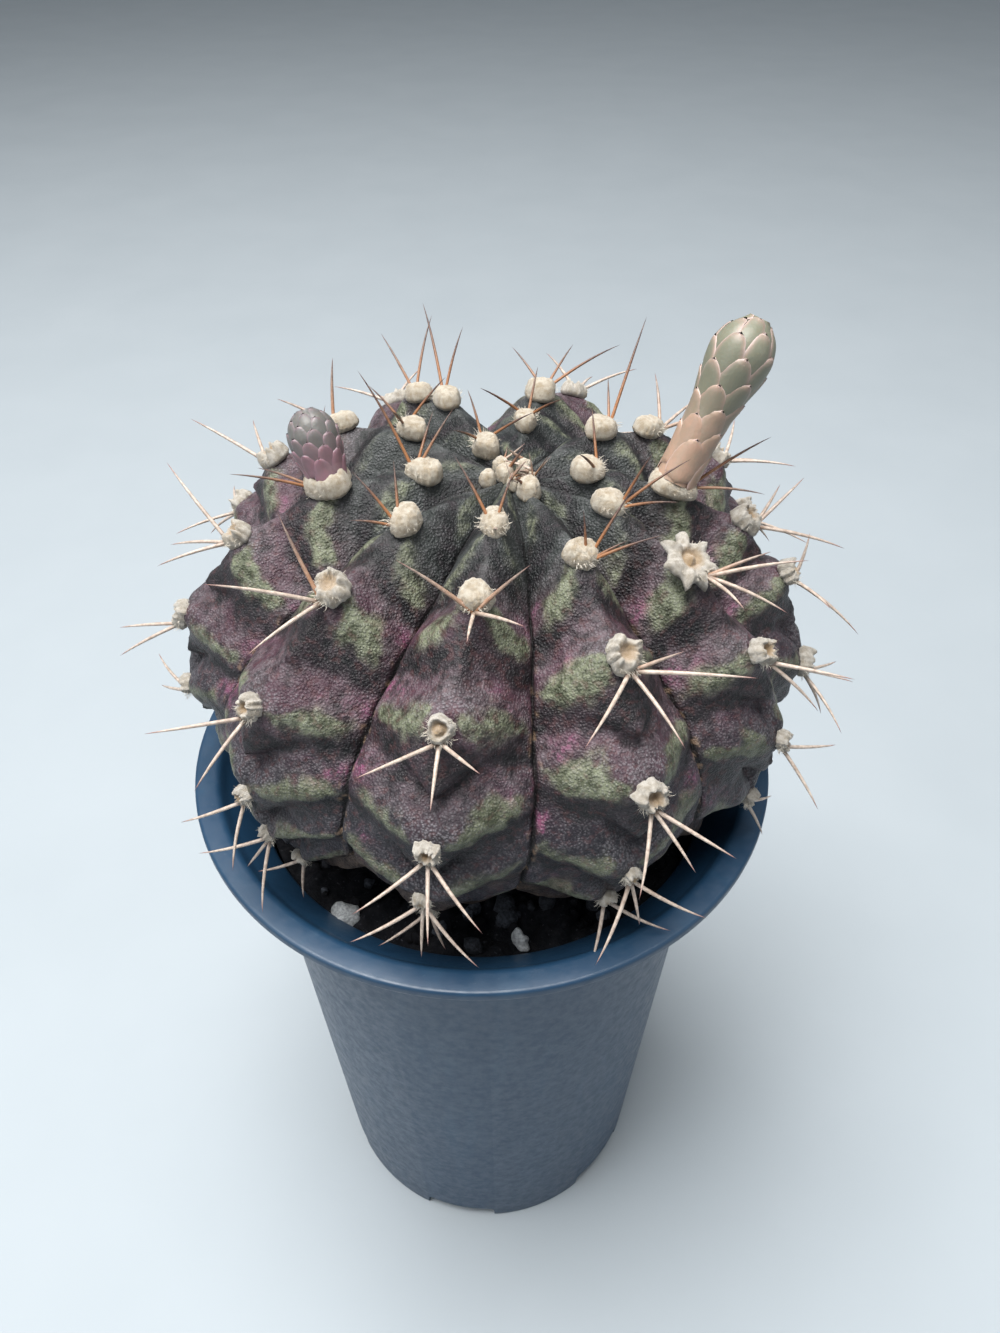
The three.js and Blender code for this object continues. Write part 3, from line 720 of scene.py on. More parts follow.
def make_stem():
    """The skin on a grid of angles by turns, with the columns closer together towards the furrows and waves
    of three sizes laid over it, carried on below into a tapering root."""
    half = COLUMNS_PER_FLANK
    toward = (1 - (1 - np.arange(half) / half) ** 1.5) / 2
    side = np.tile(np.concatenate([toward, [0.5], 1 - toward[:0:-1]]), len(RIBS))[None, :]
    rib = np.repeat(np.arange(len(RIBS)), 2 * half)[None, :]
    globe, underside = np.linspace(0.8, 128, SKIN_ROWS), np.linspace(131, ROOT_FROM, 11)
    angle = np.concatenate([[0.02], globe, underside])[:, None]
    points, off, count, nearest = skin(rib, side, angle)
    angles = np.broadcast_to(angle, off.shape)
    values = markings(points, off, count, nearest, angles) | {"off": off, "angle": angles / 180}
    outward = unit(points - [*STEM_AXIS, STEM_CENTRE_HEIGHT])
    waves = swell(points, SKIN_WAVES) * soften(crest(angle)[0], 2, 16)
    points = points + outward * waves[..., None]
    down = np.linspace(0, 1, 6)[1:, None, None]
    last = points[-1:]
    centre = np.array([*STEM_AXIS, 0.0])
    root = centre + (last - centre) * [1, 1, 0] * (1 - down) ** 0.8
    root[..., 2] = last[..., 2] - ROOT_LENGTH * down[..., 0]
    points = np.concatenate([points, root])
    for key, part in values.items():
        values[key] = np.concatenate([part, np.repeat(part[-1:], len(root), axis=0)])
    return make_piece("ribbed_stem", points.reshape(-1, 3), grid_faces(*points.shape[:2]), hide, values)


hide = Finish("waxy_skin")
off = hide.given("off")
height_down = hide.given("angle")
cloud = hide.noise(4.5, 4.0, 0.6)
fine_cloud = hide.noise(1.1, 5.0, 0.65)
speckle = hide.noise(0.22, 3.0, 0.8)
papillae = hide.cells(0.27)
glint = hide.steps(papillae, 0.1, 0.75, 1.0, 0.0)
grown = hide.steps(height_down, 0.12, 0.22)
low = hide.steps(height_down, 0.34, 0.5)
mauve = hide.fade(fine_cloud, 0.3, 0.7, (0.018, 0.01, 0.014), (0.118, 0.078, 0.092))
mauve = hide.fade(cloud, 0.45, 0.62, mauve, (0.07, 0.026, 0.042), 0.6)
slate = hide.mix(fine_cloud, (0.01, 0.014, 0.013), (0.06, 0.066, 0.064))
tone = hide.mix(hide.times(grown, hide.steps(cloud, 0.3, 0.5, 0.7, 1.0)), slate, mauve)
# painted shade: the lower body darkens to near-black towards the foot, partly the shade of the
# downward-facing underside and partly its darker old skin
tone = hide.mix(hide.times(low, 0.88), tone, (0.008, 0.008, 0.013))
# painted shade: near-black colour in the dips between the bands, partly the skin's own dark pigment
pitch = hide.fade(fine_cloud, 0.4, 0.7, (0.004, 0.005, 0.006), (0.02, 0.014, 0.018))
tone = hide.mix(hide.times(hide.given("dark"), 0.93), tone, pitch)
olive = hide.fade(fine_cloud, 0.32, 0.68, (0.038, 0.045, 0.022), (0.2, 0.215, 0.14))
# the same painted shade of the underside, partly darker old skin, dulls the olive bands towards the foot
olive = hide.mix(hide.times(low, 0.45), olive, (0.05, 0.055, 0.03))
patchy = hide.steps(hide.plus(fine_cloud, hide.given("band")), 0.55, 1.15)
tone = hide.mix(hide.times(patchy, hide.steps(hide.given("band"), 0.06, 0.55)), tone, olive)
magenta = hide.times(hide.given("blush"), hide.steps(fine_cloud, 0.44, 0.6, 0.08, 0.85))
tone = hide.mix(magenta, tone, (0.19, 0.04, 0.105))
rust = hide.times(hide.steps(hide.noise(0.8, 4.0), 0.5, 0.66, 0.0, 0.35), grown)
tone = hide.mix(rust, tone, (0.1, 0.035, 0.035))
# painted highlights: pale glints on the tiny bumps, fewer of them in the painted shade of the dips
papilla_glints = hide.times(glint, hide.steps(fine_cloud, 0.36, 0.62, 0.02, 0.22))
papilla_glints = hide.times(papilla_glints, hide.steps(hide.given("dark"), 0.0, 1.0, 1.0, 0.3))
# painted highlight: pale glints on the crest above each areole, added to the bumps' painted glints
crest_glint = hide.times(hide.given("crest_glint"), hide.times(glint, 0.25))
tone = hide.mix(hide.plus(papilla_glints, crest_glint), tone, (0.3, 0.29, 0.31))
cork_tone = hide.fade(fine_cloud, 0.3, 0.7, (0.02, 0.014, 0.012), (0.12, 0.085, 0.065))
tone = hide.mix(hide.given("cork"), tone, cork_tone)
# painted shade: the hairline crack at the bottom of each furrow is coloured near-black
tone = hide.fade(off, 0.965, 0.99, tone, (0.004, 0.004, 0.004), 0.85)
tone = hide.mix(hide.times(hide.given("scab"), 0.75), tone, (0.3, 0.2, 0.13))
grain_bump = hide.bump(glint, 0.08)
grain_bump = hide.bump(speckle, 0.14, 0.8, grain_bump)
hide.set(
    Base_Color=tone,
    Roughness=hide.steps(speckle, 0.3, 0.7, 0.36, 0.54),
    Normal=hide.bump(fine_cloud, 0.15, 0.6, grain_bump),
    Specular_IOR_Level=0.42,
)
stem = make_stem()
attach(stem, "root")
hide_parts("stem")

# The areoles: felt cushions of short matted wool on the swellings of the ribs. New ones by the crown are
# round tufts, older ones split open into ragged cups, and the oldest are small and grey. Each is (kind,
# radius, height).
PADS = {
    "a1": ("tuft", 1.47, 1.38), "a2": ("dome", 1.6, 1.38), "a3": ("rosette", 1.23, 1.56),
    "a4": ("torn", 1.07, 1.1), "a5": ("worn", 0.87, 0.74), "a6": ("worn", 0.74, 0.55),
    "b1": ("dome", 1.56, 1.38), "b2": ("cup", 1.6, 1.38), "b3": ("torn", 1.46, 1.2),
    "b4": ("worn", 0.87, 0.74), "b5": ("worn", 0.92, 0.74),
    "c1": ("tuft", 1.51, 1.38), "c2": ("star", 2.15, 0.96), "c3": ("torn", 1.29, 1.2),
    "c4": ("worn", 1.01, 0.83), "c5": ("worn", 0.92, 0.83),
    "d1": ("tuft", 1.6, 1.47), "d2": ("collar", 2.38, 1.1), "d3": ("torn", 1.38, 1.29),
    "d4": ("worn", 1.29, 1.01),
    "e1": ("tuft", 1.6, 1.38), "e2": ("tuft", 1.6, 1.29),
    "f1": ("tuft", 1.26, 1.29), "f2": ("dome", 1.8, 1.66),
    "g1": ("tuft", 1.43, 1.56), "g2": ("tuft", 1.6, 1.47), "g3": ("dome", 1.56, 1.38),
    "h1": ("tuft", 1.51, 1.29), "h2": ("dome", 1.56, 1.29), "h3": ("torn", 1.46, 1.29),
    "j1": ("tuft", 1.6, 1.47), "j2": ("collar", 2.28, 1.7), "j3": ("cup", 1.34, 1.2),
    "j4": ("worn", 1.38, 1.01), "j5": ("worn", 1.1, 0.83),
    "k1": ("tuft", 1.55, 1.56), "k2": ("cup", 1.68, 1.29), "k3": ("torn", 1.12, 1.2),
    "k4": ("worn", 0.92, 0.83), "k5": ("worn", 0.83, 0.74), "k6": ("worn", 0.83, 0.64),
}
HIDDEN_PADS = {"young": ("tuft", 1.51, 1.38), "grown": ("torn", 1.46, 1.1), "old": ("worn", 1.01, 0.83)}
YOUNG_ABOVE = 30.0
OLD_BELOW = 96.0
SINK = {"cup": 0.55, "torn": 0.7, "star": 0.7, "worn": 0.4}
FLAP_REACH = {"cup": 0.08, "torn": 0.14, "star": 0.3, "worn": 0.1}
WEAR = {"tuft": 0.0, "dome": 0.0, "collar": 0.0, "cup": 0.85}
FULLY_WORN = 1.0
PAD_SIDES = 48
FIBRE_HEIGHT = 0.022


def age_of(angle):
    """Areoles grow at the crown and move down the ribs as they age."""
    if angle < YOUNG_ABOVE:
        return "young"
    return "old" if angle > OLD_BELOW else "grown"


def areole_frame(rib, place):
    """An areole's point on the skin, with the outward, downward and rightward directions there."""
    azimuth, angle = place
    number = RIB_NAMES.index(rib)
    point = skin(np.array([number]), 0.0, np.array([float(angle)]))[0][0]
    (r0, z0), (r1, z1) = crest(np.array(angle - 1.0)), crest(np.array(angle + 1.0))
    turn = math.radians(azimuth)
    run = unit(np.array([r1 - r0, z1 - z0]))
    downward = np.array([run[0] * math.sin(turn), -run[0] * math.cos(turn), run[1]])
    right = np.array([math.cos(turn), math.sin(turn), 0.0])
    return point, -np.cross(right, downward), downward, right


AREOLES = {}
for rib_name, places in RIBS.items():
    for number, place in enumerate(places):
        AREOLES[f"{rib_name}{number + 1}"] = (*areole_frame(rib_name, place), age_of(place[1]))


def pad_shape(kind, radius, height, seed):
    """A cushion over its own flat disc, as [right, down, up] points on rings. Domes are round buttons with
    a swirl pressed in and tufts are domes with a beard below. Rosettes have a coiled middle in a collar.
    Cups, torn and worn pads sink inside a rim of ragged flaps, and a star's flaps are long and curl up.
    The last three rings close the underside. Also gives each point's share of the way out."""
    chance = np.random.default_rng(seed)
    ring = np.concatenate([np.linspace(0, 1, 21) ** 0.8, [1.0, 0.85, 0.0]])[:, None]
    turns = full_circle(PAD_SIDES)[None, :]

    def ragged(low, high, fall):
        """Waves with low to high crests around the pad, of random size and phase, finer ones smaller."""
        waves = np.arange(low, high)
        size = chance.normal(size=len(waves)) / waves ** fall
        phase = chance.uniform(0, 6.3, (len(waves), 1))
        waved = (size[:, None] * np.sin(waves[:, None] * turns + phase)).sum(0)
        return waved / np.sqrt((size ** 2).sum() / 2)

    oval = 0.07 * ragged(2, 4, 0.5) + 0.025 * ragged(5, 20, 0.3)
    swirl = np.cos(turns - 7 * ring + chance.uniform(0, 6.3)) * ring * (1 - ring)
    edge = (1 - ring ** 5) ** 0.6
    if kind in ("dome", "tuft"):
        top = edge * (1 + 0.16 * swirl + 0.04 * ragged(2, 7, 0.3) * ring)
    elif kind == "rosette":
        top = edge * (0.55 + 0.5 * soften(ring, 0.45, 0.8) + 0.3 * bell(ring, 0.3) + 0.5 * swirl)
    elif kind == "collar":
        top = edge * (0.75 + 0.5 * ring) * (1 + 0.05 * ragged(3, 12, 0.3))
    else:
        flaps = np.maximum(0, ragged(4, 11, 0.2))
        top = edge * (1 - SINK[kind] * (1 - soften(ring, 0.12, 0.68)) + 0.2 * swirl)
        top = top * (1 + 0.22 * ragged(3, 16, 0.3) * soften(ring, 0.35, 0.9))
        if kind == "star":
            flaps = 1.7 * np.abs(np.cos(3.5 * turns + 0.35 * ragged(1, 4, 0.3))) ** 7 + 0.2 * flaps
            top = top * 0.6 + 0.55 * bell(ring, 0.2) - 0.25 * bell(ring - 0.36, 0.1)
        oval = oval + FLAP_REACH[kind] * flaps * soften(ring, 0.55, 1.0)
        top = top + 1.3 * FLAP_REACH[kind] * flaps * soften(ring, 0.5, 0.9) * (1 - ring ** 9)
    beard = 0.3 if kind == "tuft" else 0.1
    out = (1 + oval * ring) * (1 + beard * soften(ring, 0.3, 1) * np.maximum(0, np.sin(turns)) ** 5)
    up = height * top + 0 * turns
    up[-3:] = np.array([-0.25, -0.6, -0.6])[:, None]
    across = radius * ring * out
    shape = np.stack([across * np.cos(turns), across * np.sin(turns), up], axis=-1)
    shape[..., 1] -= 0.45 * beard * radius
    fibres = np.stack([ripples(shape[:-2], 0.5, seed + k) for k in range(3)], axis=-1)
    shape[:-2] += FIBRE_HEIGHT * fibres
    return shape, np.broadcast_to(ring, up.shape)


def make_pads():
    """Every areole's cushion, tilted to its own place on the skin."""
    points, faces, rings, wear = [], [], [], []
    start = 0
    for seed, (name, (spot, outward, downward, right, age)) in enumerate(AREOLES.items()):
        kind, radius, height = PADS.get(name, HIDDEN_PADS[age])
        shape, ring = pad_shape(kind, radius, height, 100 + seed)
        base = spot + outward * 0.1
        placed = base + shape[..., :1] * right + shape[..., 1:2] * downward + shape[..., 2:] * outward
        points.append(placed.reshape(-1, 3))
        faces.append(grid_faces(*ring.shape, start))
        rings.append(ring.ravel())
        wear.append(np.full(ring.size, WEAR.get(kind, FULLY_WORN)))
        start += ring.size
    values = {"ring": np.concatenate(rings), "wear": np.concatenate(wear)}
    return make_piece("areole_felt", np.concatenate(points), np.concatenate(faces), felt, values)


felt = Finish("cream_felt", 0.95)
fibres = felt.noise(0.16, 6.0, 0.75, distortion=1.5)
tufts = felt.noise(0.6, 4.0, 0.6)
fluff = felt.fade(tufts, 0.3, 0.7, (0.43, 0.34, 0.23), (0.63, 0.57, 0.47))
aged = felt.fade(tufts, 0.3, 0.7, (0.36, 0.31, 0.24), (0.6, 0.56, 0.5))
wool_tone = felt.mix(felt.given("wear"), fluff, aged)
core = felt.times(felt.steps(felt.given("ring"), 0.35, 0.7, 1.0, 0.0), felt.given("wear"))
wool_tone = felt.mix(felt.times(core, 0.75), wool_tone, (0.4, 0.25, 0.11))
wool_tone = felt.mix(felt.steps(fibres, 0.28, 0.48, 0.4, 0.0), wool_tone, (0.3, 0.2, 0.1))
felt.set(Base_Color=wool_tone, Normal=felt.bump(fibres, 0.3, 0.9), Sheen_Weight=0.35, Specular_IOR_Level=0.2)
pads = make_pads()
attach(pads, "root")

# The spines: two to four to an areole, stiff tapering needles of dead horn. They leave the lower edge of
# the felt and bend back towards the stem. New ones are brown with black tips, old ones bleached to ivory.
# Each is (turn from straight down, positive to the right, lift off the skin, length, paleness from 0 to 1).
SPINES = {
    "a1": [(-140, 40, 7.6, 0.1), (155, 45, 5.5, 0.1), (10, 35, 3, 0.8)],
    "a2": [(-112, 28, 8, 0.45), (122, 32, 6.5, 0.4), (60, 30, 6, 0.9), (-3, 25, 4, 1)],
    "a3": [(-62, 28, 7.8, 1), (68, 42, 6, 1), (3, 30, 6.2, 1)],
    "a4": [(-66, 40, 8.1, 1), (13, 48, 7.4, 1), (55, 30, 8, 0.85)],
    "a5": [(-75, 33, 8, 1), (0, 34, 6.5, 1), (64, 32, 8, 1)],
    "a6": [(-70, 40, 7, 0.8), (25, 42, 5.5, 0.8)],
    "b1": [(120, 36, 7.4, 0), (72, 30, 7, 0.1), (170, 50, 4.5, 0.05), (80, 35, 4, 0.15)],
    "b2": [(88, 45, 5, 0.6), (61, 33, 10.8, 1), (-57, 17, 9.5, 1), (6, 20, 8.3, 1)],
    "b3": [(-34, 28, 8, 1), (18, 35, 6.8, 1), (50, 40, 8.5, 1)],
    "b4": [(-41, 31, 9, 1), (6, 30, 5.5, 1), (70, 40, 8.3, 1)],
    "b5": [(-38, 52, 7.4, 1), (75, 38, 8, 0.95)],
    "c1": [(60, 32, 8, 0.1), (15, 26, 6, 0.15), (70, 62, 6, 0)],
    "c2": [(38, 41, 9, 0.8), (9, 18, 8, 0.8), (56, 42, 6, 0.5), (-35, 30, 6, 0.9)],
    "c3": [(26, 54, 8, 1), (34, 38, 8.4, 1), (8, 18, 7, 1)],
    "c4": [(66, 34, 7.5, 1), (-20, 46, 7.3, 1)],
    "c5": [(66, 24, 6, 1), (22, 40, 7, 1)],
    "d1": [(100, 42, 6.5, 0), (-100, 45, 6, 0.05)],
    "d2": [(44, 30, 10.4, 0.1), (-2, 20, 7.4, 0.3)],
    "d3": [(0, 25, 9.5, 0.85), (68, 46, 7.4, 0.8), (80, 30, 6, 0.8)],
    "d4": [(-12, 21, 9, 1), (140, 40, 5, 1), (-75, 30, 6, 1)],
    "e1": [(35, 45, 12.4, 0.1), (60, 30, 6, 0.2)],
    "e2": [(80, 38, 6.8, 0.6), (-40, 35, 7, 0.6), (20, 30, 6.5, 0.8)],
    "f2": [(-15, 36, 7, 0.2), (60, 32, 6.6, 0.3), (-52, 29, 10, 0.1)],
    "g2": [(-8, 44, 11.6, 0.1), (-50, 50, 8, 0.1)],
    "g3": [(10, 55, 8, 0.3), (-60, 52, 9.4, 0.2)],
    "h2": [(-86, 57, 7.2, 0.3), (10, 35, 7, 0.6)],
    "h3": [(-10, 54, 10, 0.9), (-66, 36, 6.6, 0.8)],
    "j1": [(-50, 42, 11.2, 0.1), (-116, 42, 6.6, 0.1), (-142, 50, 7.4, 0.2)],
    "j2": [(-8, 30, 8.2, 0.15), (-40, 16, 6.8, 0.2), (-112, 24, 9.4, 0.3)],
    "j3": [(-86, 46, 10.4, 1), (6, 28, 7.3, 0.9), (-30, 20, 7, 0.9)],
    "j4": [(-35, 50, 8, 1), (0, 45, 8, 1)],
    "j5": [(-95, 26, 7.5, 1), (-60, 32, 7.5, 1)],
    "k1": [(-95, 36, 6.6, 0), (-140, 38, 6.2, 0.1), (-46, 20, 4.5, 0.15)],
    "k2": [(-125, 34, 8.7, 0.35), (-52, 40, 10.2, 1), (-8, 18, 8.2, 1)],
    "k3": [(-53, 54, 9, 1), (6, 33, 8, 1)],
    "k4": [(-57, 40, 7.6, 1), (22, 35, 7, 1)],
    "k5": [(-92, 50, 7.8, 1), (35, 50, 7.8, 1), (-30, 42, 5.5, 1)],
    "k6": [(-75, 40, 6.5, 1), (5, 45, 5.5, 1)],
}
HIDDEN_SPINES = {
    "young": [(-115, 42, 6.5, 0.1), (115, 42, 6.5, 0.1), (0, 35, 5.5, 0.2)],
    "grown": [(-62, 34, 8, 1), (2, 26, 7, 1), (62, 34, 8, 1)],
    "old": [(-68, 38, 6.5, 1), (66, 38, 6.5, 1)],
}
SPINE_THICKNESS = {"young": 0.16, "grown": 0.2, "old": 0.2}
SPINE_DROP = {"young": 0.62, "grown": 0.95, "old": 1.1}
SPINE_BOW = 0.09
SPINE_SIDES = 9
SPINE_STEPS = 14


def needles(bases, tips, bows, radii, sides, steps):
    """Tapering rods along parabolas from bases to tips, each bowed by its bow. The radius swells at the
    root and falls to a point. Also gives how far along each point lies, from 0 to 1."""
    t = np.linspace(0, 1, steps)[None, :, None]
    middle = (bases + tips) / 2 + bows
    line = (1 - t) ** 2 * bases[:, None] + 2 * t * (1 - t) * middle[:, None] + t ** 2 * tips[:, None]
    run = unit(2 * (1 - t) * (middle - bases)[:, None] + 2 * t * (tips - middle)[:, None])
    flat = unit(np.cross(run, unit(bows + 1e-6)[:, None]))
    upright = np.cross(flat, run)
    turns = full_circle(sides)[:, None]
    radius = (radii[:, None, None] * ((1 - t ** 2.4) ** 0.9 + 0.25 * bell(t, 0.05)))[..., None]
    ring = flat[:, :, None] * np.cos(turns) + upright[:, :, None] * np.sin(turns)
    points = line[:, :, None] + ring * radius
    along = np.broadcast_to(t[..., None], points.shape[:3] + (1,))
    return points.reshape(-1, 3), faces_of_each(len(bases), steps, sides), along.ravel()


def make_spines():
    """One needle for each entry of the lists, from the lower edge of its areole's felt."""
    bases, tips, bows, radii, pale = [], [], [], [], []
    for name, (spot, outward, downward, right, age) in AREOLES.items():
        size = PADS.get(name, HIDDEN_PADS[age])[1]
        for turn, lift, length, paleness in SPINES.get(name, HIDDEN_SPINES[age]):
            turn, lift = math.radians(turn), math.radians(lift)
            level = downward * math.cos(turn) + right * math.sin(turn)
            along = level * math.cos(lift) + outward * math.sin(lift)
            base = spot + downward * SPINE_DROP[age] * size + level * 0.12 * size + outward * 0.3
            bases.append(base)
            tips.append(base + along * length)
            bows.append(outward * SPINE_BOW * length + right * 0.02 * length * math.sin(7 * turn + length))
            radii.append(SPINE_THICKNESS[age] * (0.85 + 0.02 * length))
            pale.append(paleness)
    rods = [np.array(part) for part in (bases, tips, bows, radii)]
    points, faces, along = needles(*rods, SPINE_SIDES, SPINE_STEPS)
    values = {"along": along, "pale": np.repeat(pale, SPINE_SIDES * SPINE_STEPS)}
    return make_piece("spines", points, faces, horn, values)


horn = Finish("spine_horn", 0.42)
streak = horn.noise(0.5, 4.0, 0.6)
along = horn.given("along")
old_tone = horn.fade(streak, 0.3, 0.7, (0.34, 0.26, 0.21), (0.55, 0.46, 0.39))
old_tone = horn.fade(along, 0.72, 0.97, old_tone, (0.24, 0.11, 0.1), 0.85)
old_tone = horn.mix(horn.steps(along, 0.02, 0.13, 0.75, 0.0), old_tone, (0.1, 0.055, 0.03))
new_tone = horn.fade(along, 0.05, 0.8, (0.3, 0.12, 0.04), (0.04, 0.018, 0.018))
new_tone = horn.fade(streak, 0.35, 0.7, new_tone, (0.3, 0.17, 0.1), 0.3)
horn.set(
    Base_Color=horn.fade(horn.given("pale"), 0.0, 1.0, new_tone, old_tone),
    Normal=horn.bump(streak, 0.08, 0.6),
)
spines = make_spines()
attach(spines, "root")
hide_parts(*[f"areole_{name}" for name in AREOLES])

# Wool: loose hairs stand out of every areole, and a matted nest of wool with the first short spines fills
# the growing point in the middle of the crown.
HAIRS_PER_PAD = 110
HAIR_LENGTHS = (0.25, 1.0)
HAIR_RADII = (0.018, 0.034)
HAIR_SIDES = 3
HAIR_STEPS = 5


def make_hairs():
    """Fine bent hairs from the rim of each cushion, more of them on its lower side."""
    chance = np.random.default_rng(31)
    column = (HAIRS_PER_PAD, 1)
    bases, tips, bows, radii = [], [], [], []
    for name, (spot, outward, downward, right, age) in AREOLES.items():
        kind, size, height = PADS.get(name, HIDDEN_PADS[age])
        turn = chance.normal(0, 1.2, column)
        reach = size * chance.uniform(0.6, 1.0, column)
        level = downward * np.cos(turn) + right * np.sin(turn)
        base = spot + level * reach + outward * height * chance.uniform(0.1, 0.6, column)
        away = level + outward * chance.uniform(-0.2, 1.0, column) + chance.normal(0, 0.3, (HAIRS_PER_PAD, 3))
        length = chance.uniform(*HAIR_LENGTHS, column) * (0.75 + 0.35 * np.cos(turn))
        length = length * (0.75 if kind in ("dome", "collar") else 1.0)
        bases.append(base)
        tips.append(base + unit(away) * length)
        bows.append(chance.normal(0, 0.3, (HAIRS_PER_PAD, 3)) * length)
        radii.append(chance.uniform(*HAIR_RADII, HAIRS_PER_PAD))
    rods = [np.concatenate(part) for part in (bases, tips, bows, radii)]
    points, faces, along = needles(*rods, HAIR_SIDES, HAIR_STEPS)
    return make_piece("areole_hairs", points, faces, wool, {"along": along})


wool = Finish("white_wool", 0.8)
wool.set(
    Base_Color=wool.mix(wool.noise(0.5, 3.0), (0.55, 0.47, 0.36), (0.8, 0.76, 0.68)),
    Sheen_Weight=0.3,
    Specular_IOR_Level=0.3,
)
hairs = make_hairs()
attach(hairs, "root")

CROWN = skin(np.array([0]), 0.0, np.array([0.02]))[0][0]
CROWN_TUFTS = [
    (-2.0, -0.8, 0.85),
    (1.8, 1.0, 0.9),
    (0.6, -1.7, 0.7),
    (-0.6, 1.8, 0.8),
    (2.4, -0.9, 0.6),
    (-0.2, 0.2, 1.0),
    (2.0, -4.1, 1.2),
]
CROWN_SPINES = 22
CROWN_SPINE_LENGTHS = (1.4, 3.4)
CROWN_SPINE_RADII = (0.1, 0.2)


def make_crown_wool():
    """Overlapping tufts about the growing point, each a ragged dome."""
    points, faces, rings = [], [], []
    for seed, (x, y, size) in enumerate(CROWN_TUFTS):
        shape, ring = pad_shape("tuft", size, size * 1.3, 400 + seed)
        rise = 0.1 + 0.035 * (x * x + y * y)
        points.append((CROWN + [x, y, rise] + shape * [1, -1, 1]).reshape(-1, 3))
        faces.append(grid_faces(*ring.shape, seed * ring.size))
        rings.append(ring.ravel())
    share = np.concatenate(rings)
    values = {"ring": share, "wear": 0 * share}
    return make_piece("crown_nest", np.concatenate(points), np.concatenate(faces), felt, values)


nest = make_crown_wool()
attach(nest, "root")
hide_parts("crown_wool")


def make_crown_spines():
    """Short first spines that lean out of the nest in all directions."""
    chance = np.random.default_rng(32)
    count = CROWN_SPINES
    sides, steps = 7, 8
    tuft = np.array(CROWN_TUFTS)[chance.integers(0, len(CROWN_TUFTS), count)]
    base = CROWN + tuft * [1, 1, 0] + [0, 0, 0.9] + chance.normal(0, 0.3, (count, 3))
    lean = unit(chance.normal(0, 0.8, (count, 3)) + [0, 0, 0.9])
    length = chance.uniform(*CROWN_SPINE_LENGTHS, (count, 1))
    bow = chance.normal(0, 0.05, (count, 3)) * length
    radius = chance.uniform(*CROWN_SPINE_RADII, count)
    points, faces, along = needles(base, base + lean * length, bow, radius, sides, steps)
    values = {"along": along, "pale": np.repeat(chance.uniform(0.1, 0.9, count), sides * steps)}
    return make_piece("crown_spines", points, faces, horn, values)


crown_spines = make_crown_spines()
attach(crown_spines, "root")

# The flower buds: each pushes out of an areole's wool on a short neck. Broad overlapping scales cover it,
# thin and pale at the edge and grey-green in the middle, like tiles from the foot to the tip.
BUDS = {
    "flower_bud_tall": {
        "areole": "d2",
        "length": 16.8,
        "lean": (0.43, 0.28, 0.86),
        "bow": 0.005,
        "profile": [
            (0, 2.0), (0.2, 1.8), (0.42, 1.9), (0.56, 2.3), (0.7, 2.8), (0.82, 2.9), (0.93, 2.1), (1, 0.5),
        ],
        "scales": 40,
        "scale_width": 3.3,
        "scale_length": 4.6,
    },
    "flower_bud_short": {
        "areole": "j2",
        "length": 7.2,
        "lean": (-0.28, 0.41, 0.87),
        "bow": 0.04,
        "profile": [(0, 1.75), (0.2, 1.85), (0.45, 2.2), (0.65, 2.25), (0.82, 1.85), (0.93, 1.2), (1, 0.3)],
        "scales": 52,
        "scale_width": 2.1,
        "scale_length": 2.5,
    },
}
GOLDEN_TURN = 137.5
BUD_START = 0.5
CORE_ROWS = 33
CORE_SIDES = 32
SCALE_ROWS = 13
SCALE_SIDES = 18


def bud_axis(bud):
    """Start, direction, sideways direction and bow direction of a bud's middle line."""
    spot, outward, _, _, _ = AREOLES[bud["areole"]]
    lean = unit(np.array(bud["lean"]))
    across = unit(np.cross(lean, outward))
    return spot + outward * BUD_START, lean, across, np.cross(lean, across)


def on_bud(bud, share, turn, lift):
    """A point lift above the bud's core, share of the way along it and turned about its middle line. The
    middle line is straight with a parabola's bow, and the core's radius follows the profile."""
    base, lean, across, forward = bud_axis(bud)
    reach, radius = np.array(bud["profile"]).T
    samples = np.linspace(0, 1, 201)
    wide = np.interp(share, samples, smooth_line(np.interp(samples, reach, radius), 6)) + lift
    bow = 2 * bud["bow"] * bud["length"] * share * (1 - share)
    return (
        base
        + lean * (share * bud["length"])[..., None]
        + forward * bow[..., None]
        + across * (wide * np.cos(turn))[..., None]
        + forward * (wide * np.sin(turn))[..., None]
    )


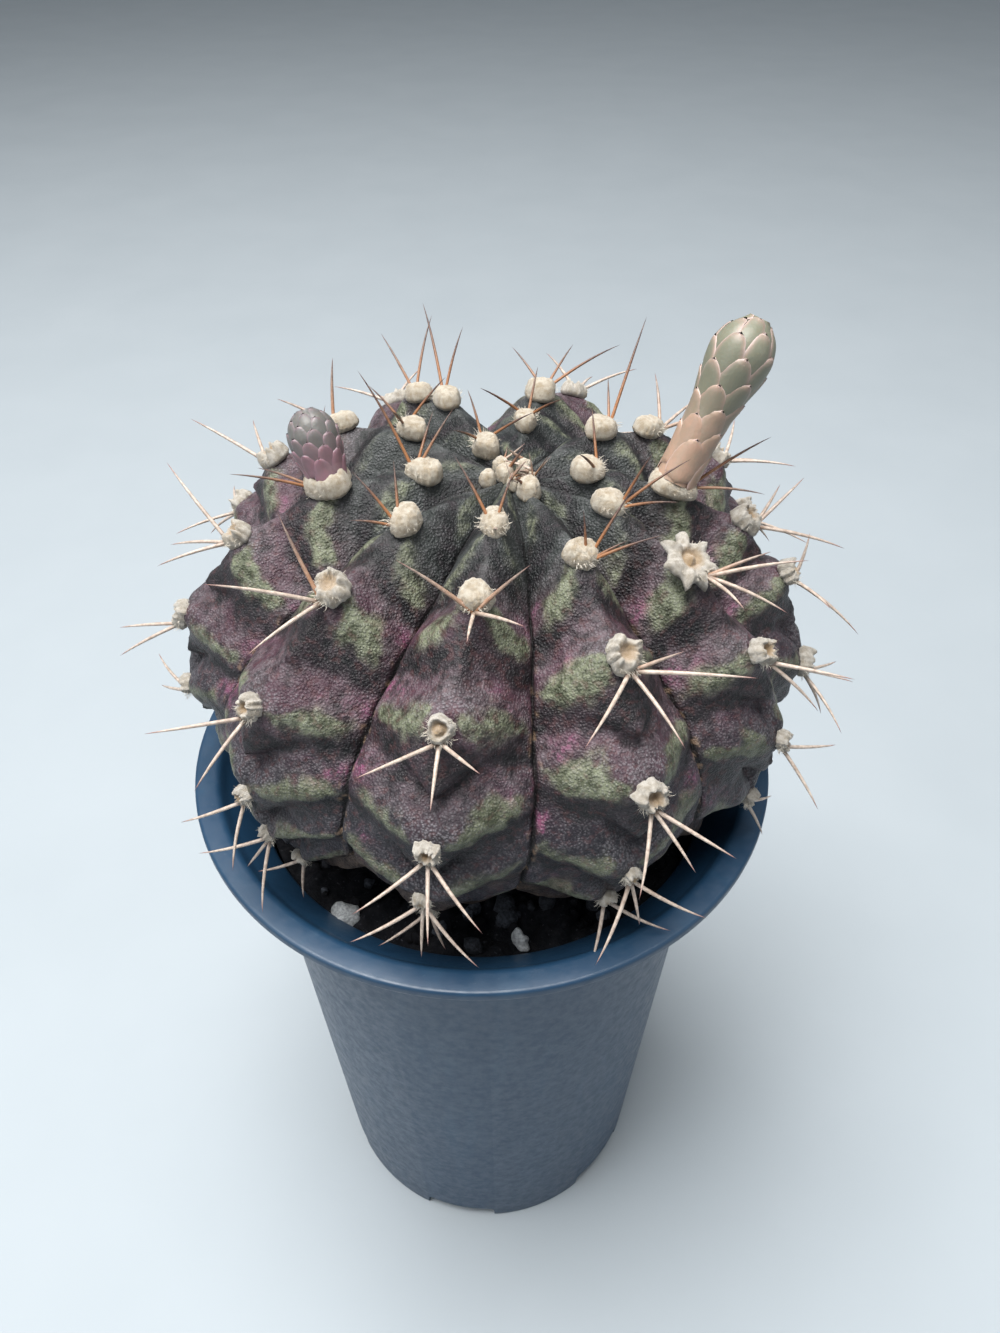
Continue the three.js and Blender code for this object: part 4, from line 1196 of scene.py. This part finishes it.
def make_bud(name, bud, finish):
    """The core, then the scales in a golden-angle spiral. A scale is a blade wrapped on the core: a flat
    oval section swept from its foot to its round tip, which stands a little proud."""
    share = np.concatenate([[0, 0], np.linspace(0.02, 1, CORE_ROWS - 3), [1.0]])
    turn = full_circle(CORE_SIDES)
    share, turn = np.meshgrid(share, turn, indexing="ij")
    core = on_bud(bud, share, turn, 0 * share)
    core[[0, -1]] = core[[0, -1]].mean(axis=1, keepdims=True)
    points, faces = [core.reshape(-1, 3)], [grid_faces(CORE_ROWS, CORE_SIDES)]
    margin, along = [np.zeros(share.size)], [share.ravel()]
    v = np.linspace(0, 1, SCALE_ROWS)[:, None]
    a = full_circle(SCALE_SIDES)[None, :]
    width = np.sin(math.pi * v ** 0.62) ** 0.55
    proud = 0.10 + 0.34 * v ** 1.5 - 0.16 * np.cos(a) ** 2 * v + 0.11 * np.sin(a) * width
    reach, radius = np.array(bud["profile"]).T
    for i in range(bud["scales"]):
        foot = -0.05 + 0.93 * (i / bud["scales"]) ** 0.92
        small = 1 - 0.45 * soften(foot, 0.6, 1.0)
        place = np.clip(foot + v * bud["scale_length"] * small / bud["length"], 0, 1)
        half = bud["scale_width"] * small / 2 / np.maximum(np.interp(place, reach, radius), 0.9)
        turn = math.radians(GOLDEN_TURN * i) + half * width * np.cos(a)
        faces.append(grid_faces(SCALE_ROWS, SCALE_SIDES, share.size + i * SCALE_ROWS * SCALE_SIDES))
        points.append(on_bud(bud, place + 0 * a, turn, proud * small).reshape(-1, 3))
        margin.append(np.maximum(np.abs(np.cos(a)) ** 3, v ** 6).ravel())
        along.append(np.full(proud.size, foot))
    values = {"margin": np.concatenate(margin), "along": np.clip(np.concatenate(along), 0, 1)}
    return make_piece(name, np.concatenate(points), np.concatenate(faces), finish, values, smooth_below=60)


def scale_finish(name, foot, tip, middle, rim):
    """Waxy scales: the foot's colour runs into the tip's along the bud, with a darker middle and a pale
    rim on every scale."""
    wax = Finish(name, 0.45)
    body = wax.fade(wax.given("along"), 0.05, 0.6, foot, tip)
    body = wax.fade(wax.noise(0.9, 4.0), 0.3, 0.7, body, middle, 0.3)
    centre = wax.steps(wax.given("margin"), 0.1, 0.8, 0.9, 0.0)
    upper = wax.steps(wax.given("along"), 0.1, 0.45, 0.15, 1.0)
    body = wax.mix(wax.times(centre, upper), body, middle)
    body = wax.fade(wax.given("margin"), 0.6, 0.98, body, rim, 0.75)
    wax.set(
        Base_Color=body,
        Normal=wax.bump(wax.noise(0.3, 4.0), 0.06, 0.6),
        Subsurface_Weight=0.12,
        Subsurface_Radius=(0.002, 0.001, 0.0006),
        Subsurface_Scale=0.4,
    )
    return wax


tall_wax = scale_finish(
    "tall_bud_scales",
    foot=(0.42, 0.26, 0.19),
    tip=(0.36, 0.25, 0.21),
    middle=(0.16, 0.17, 0.12),
    rim=(0.58, 0.44, 0.4),
)
short_wax = scale_finish(
    "short_bud_scales",
    foot=(0.26, 0.13, 0.16),
    tip=(0.2, 0.15, 0.16),
    middle=(0.12, 0.12, 0.11),
    rim=(0.36, 0.29, 0.3),
)
for bud_name, wax in (("flower_bud_tall", tall_wax), ("flower_bud_short", short_wax)):
    piece = make_bud("scaly_" + bud_name, BUDS[bud_name], wax)
    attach(piece, "root")
    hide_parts(bud_name)
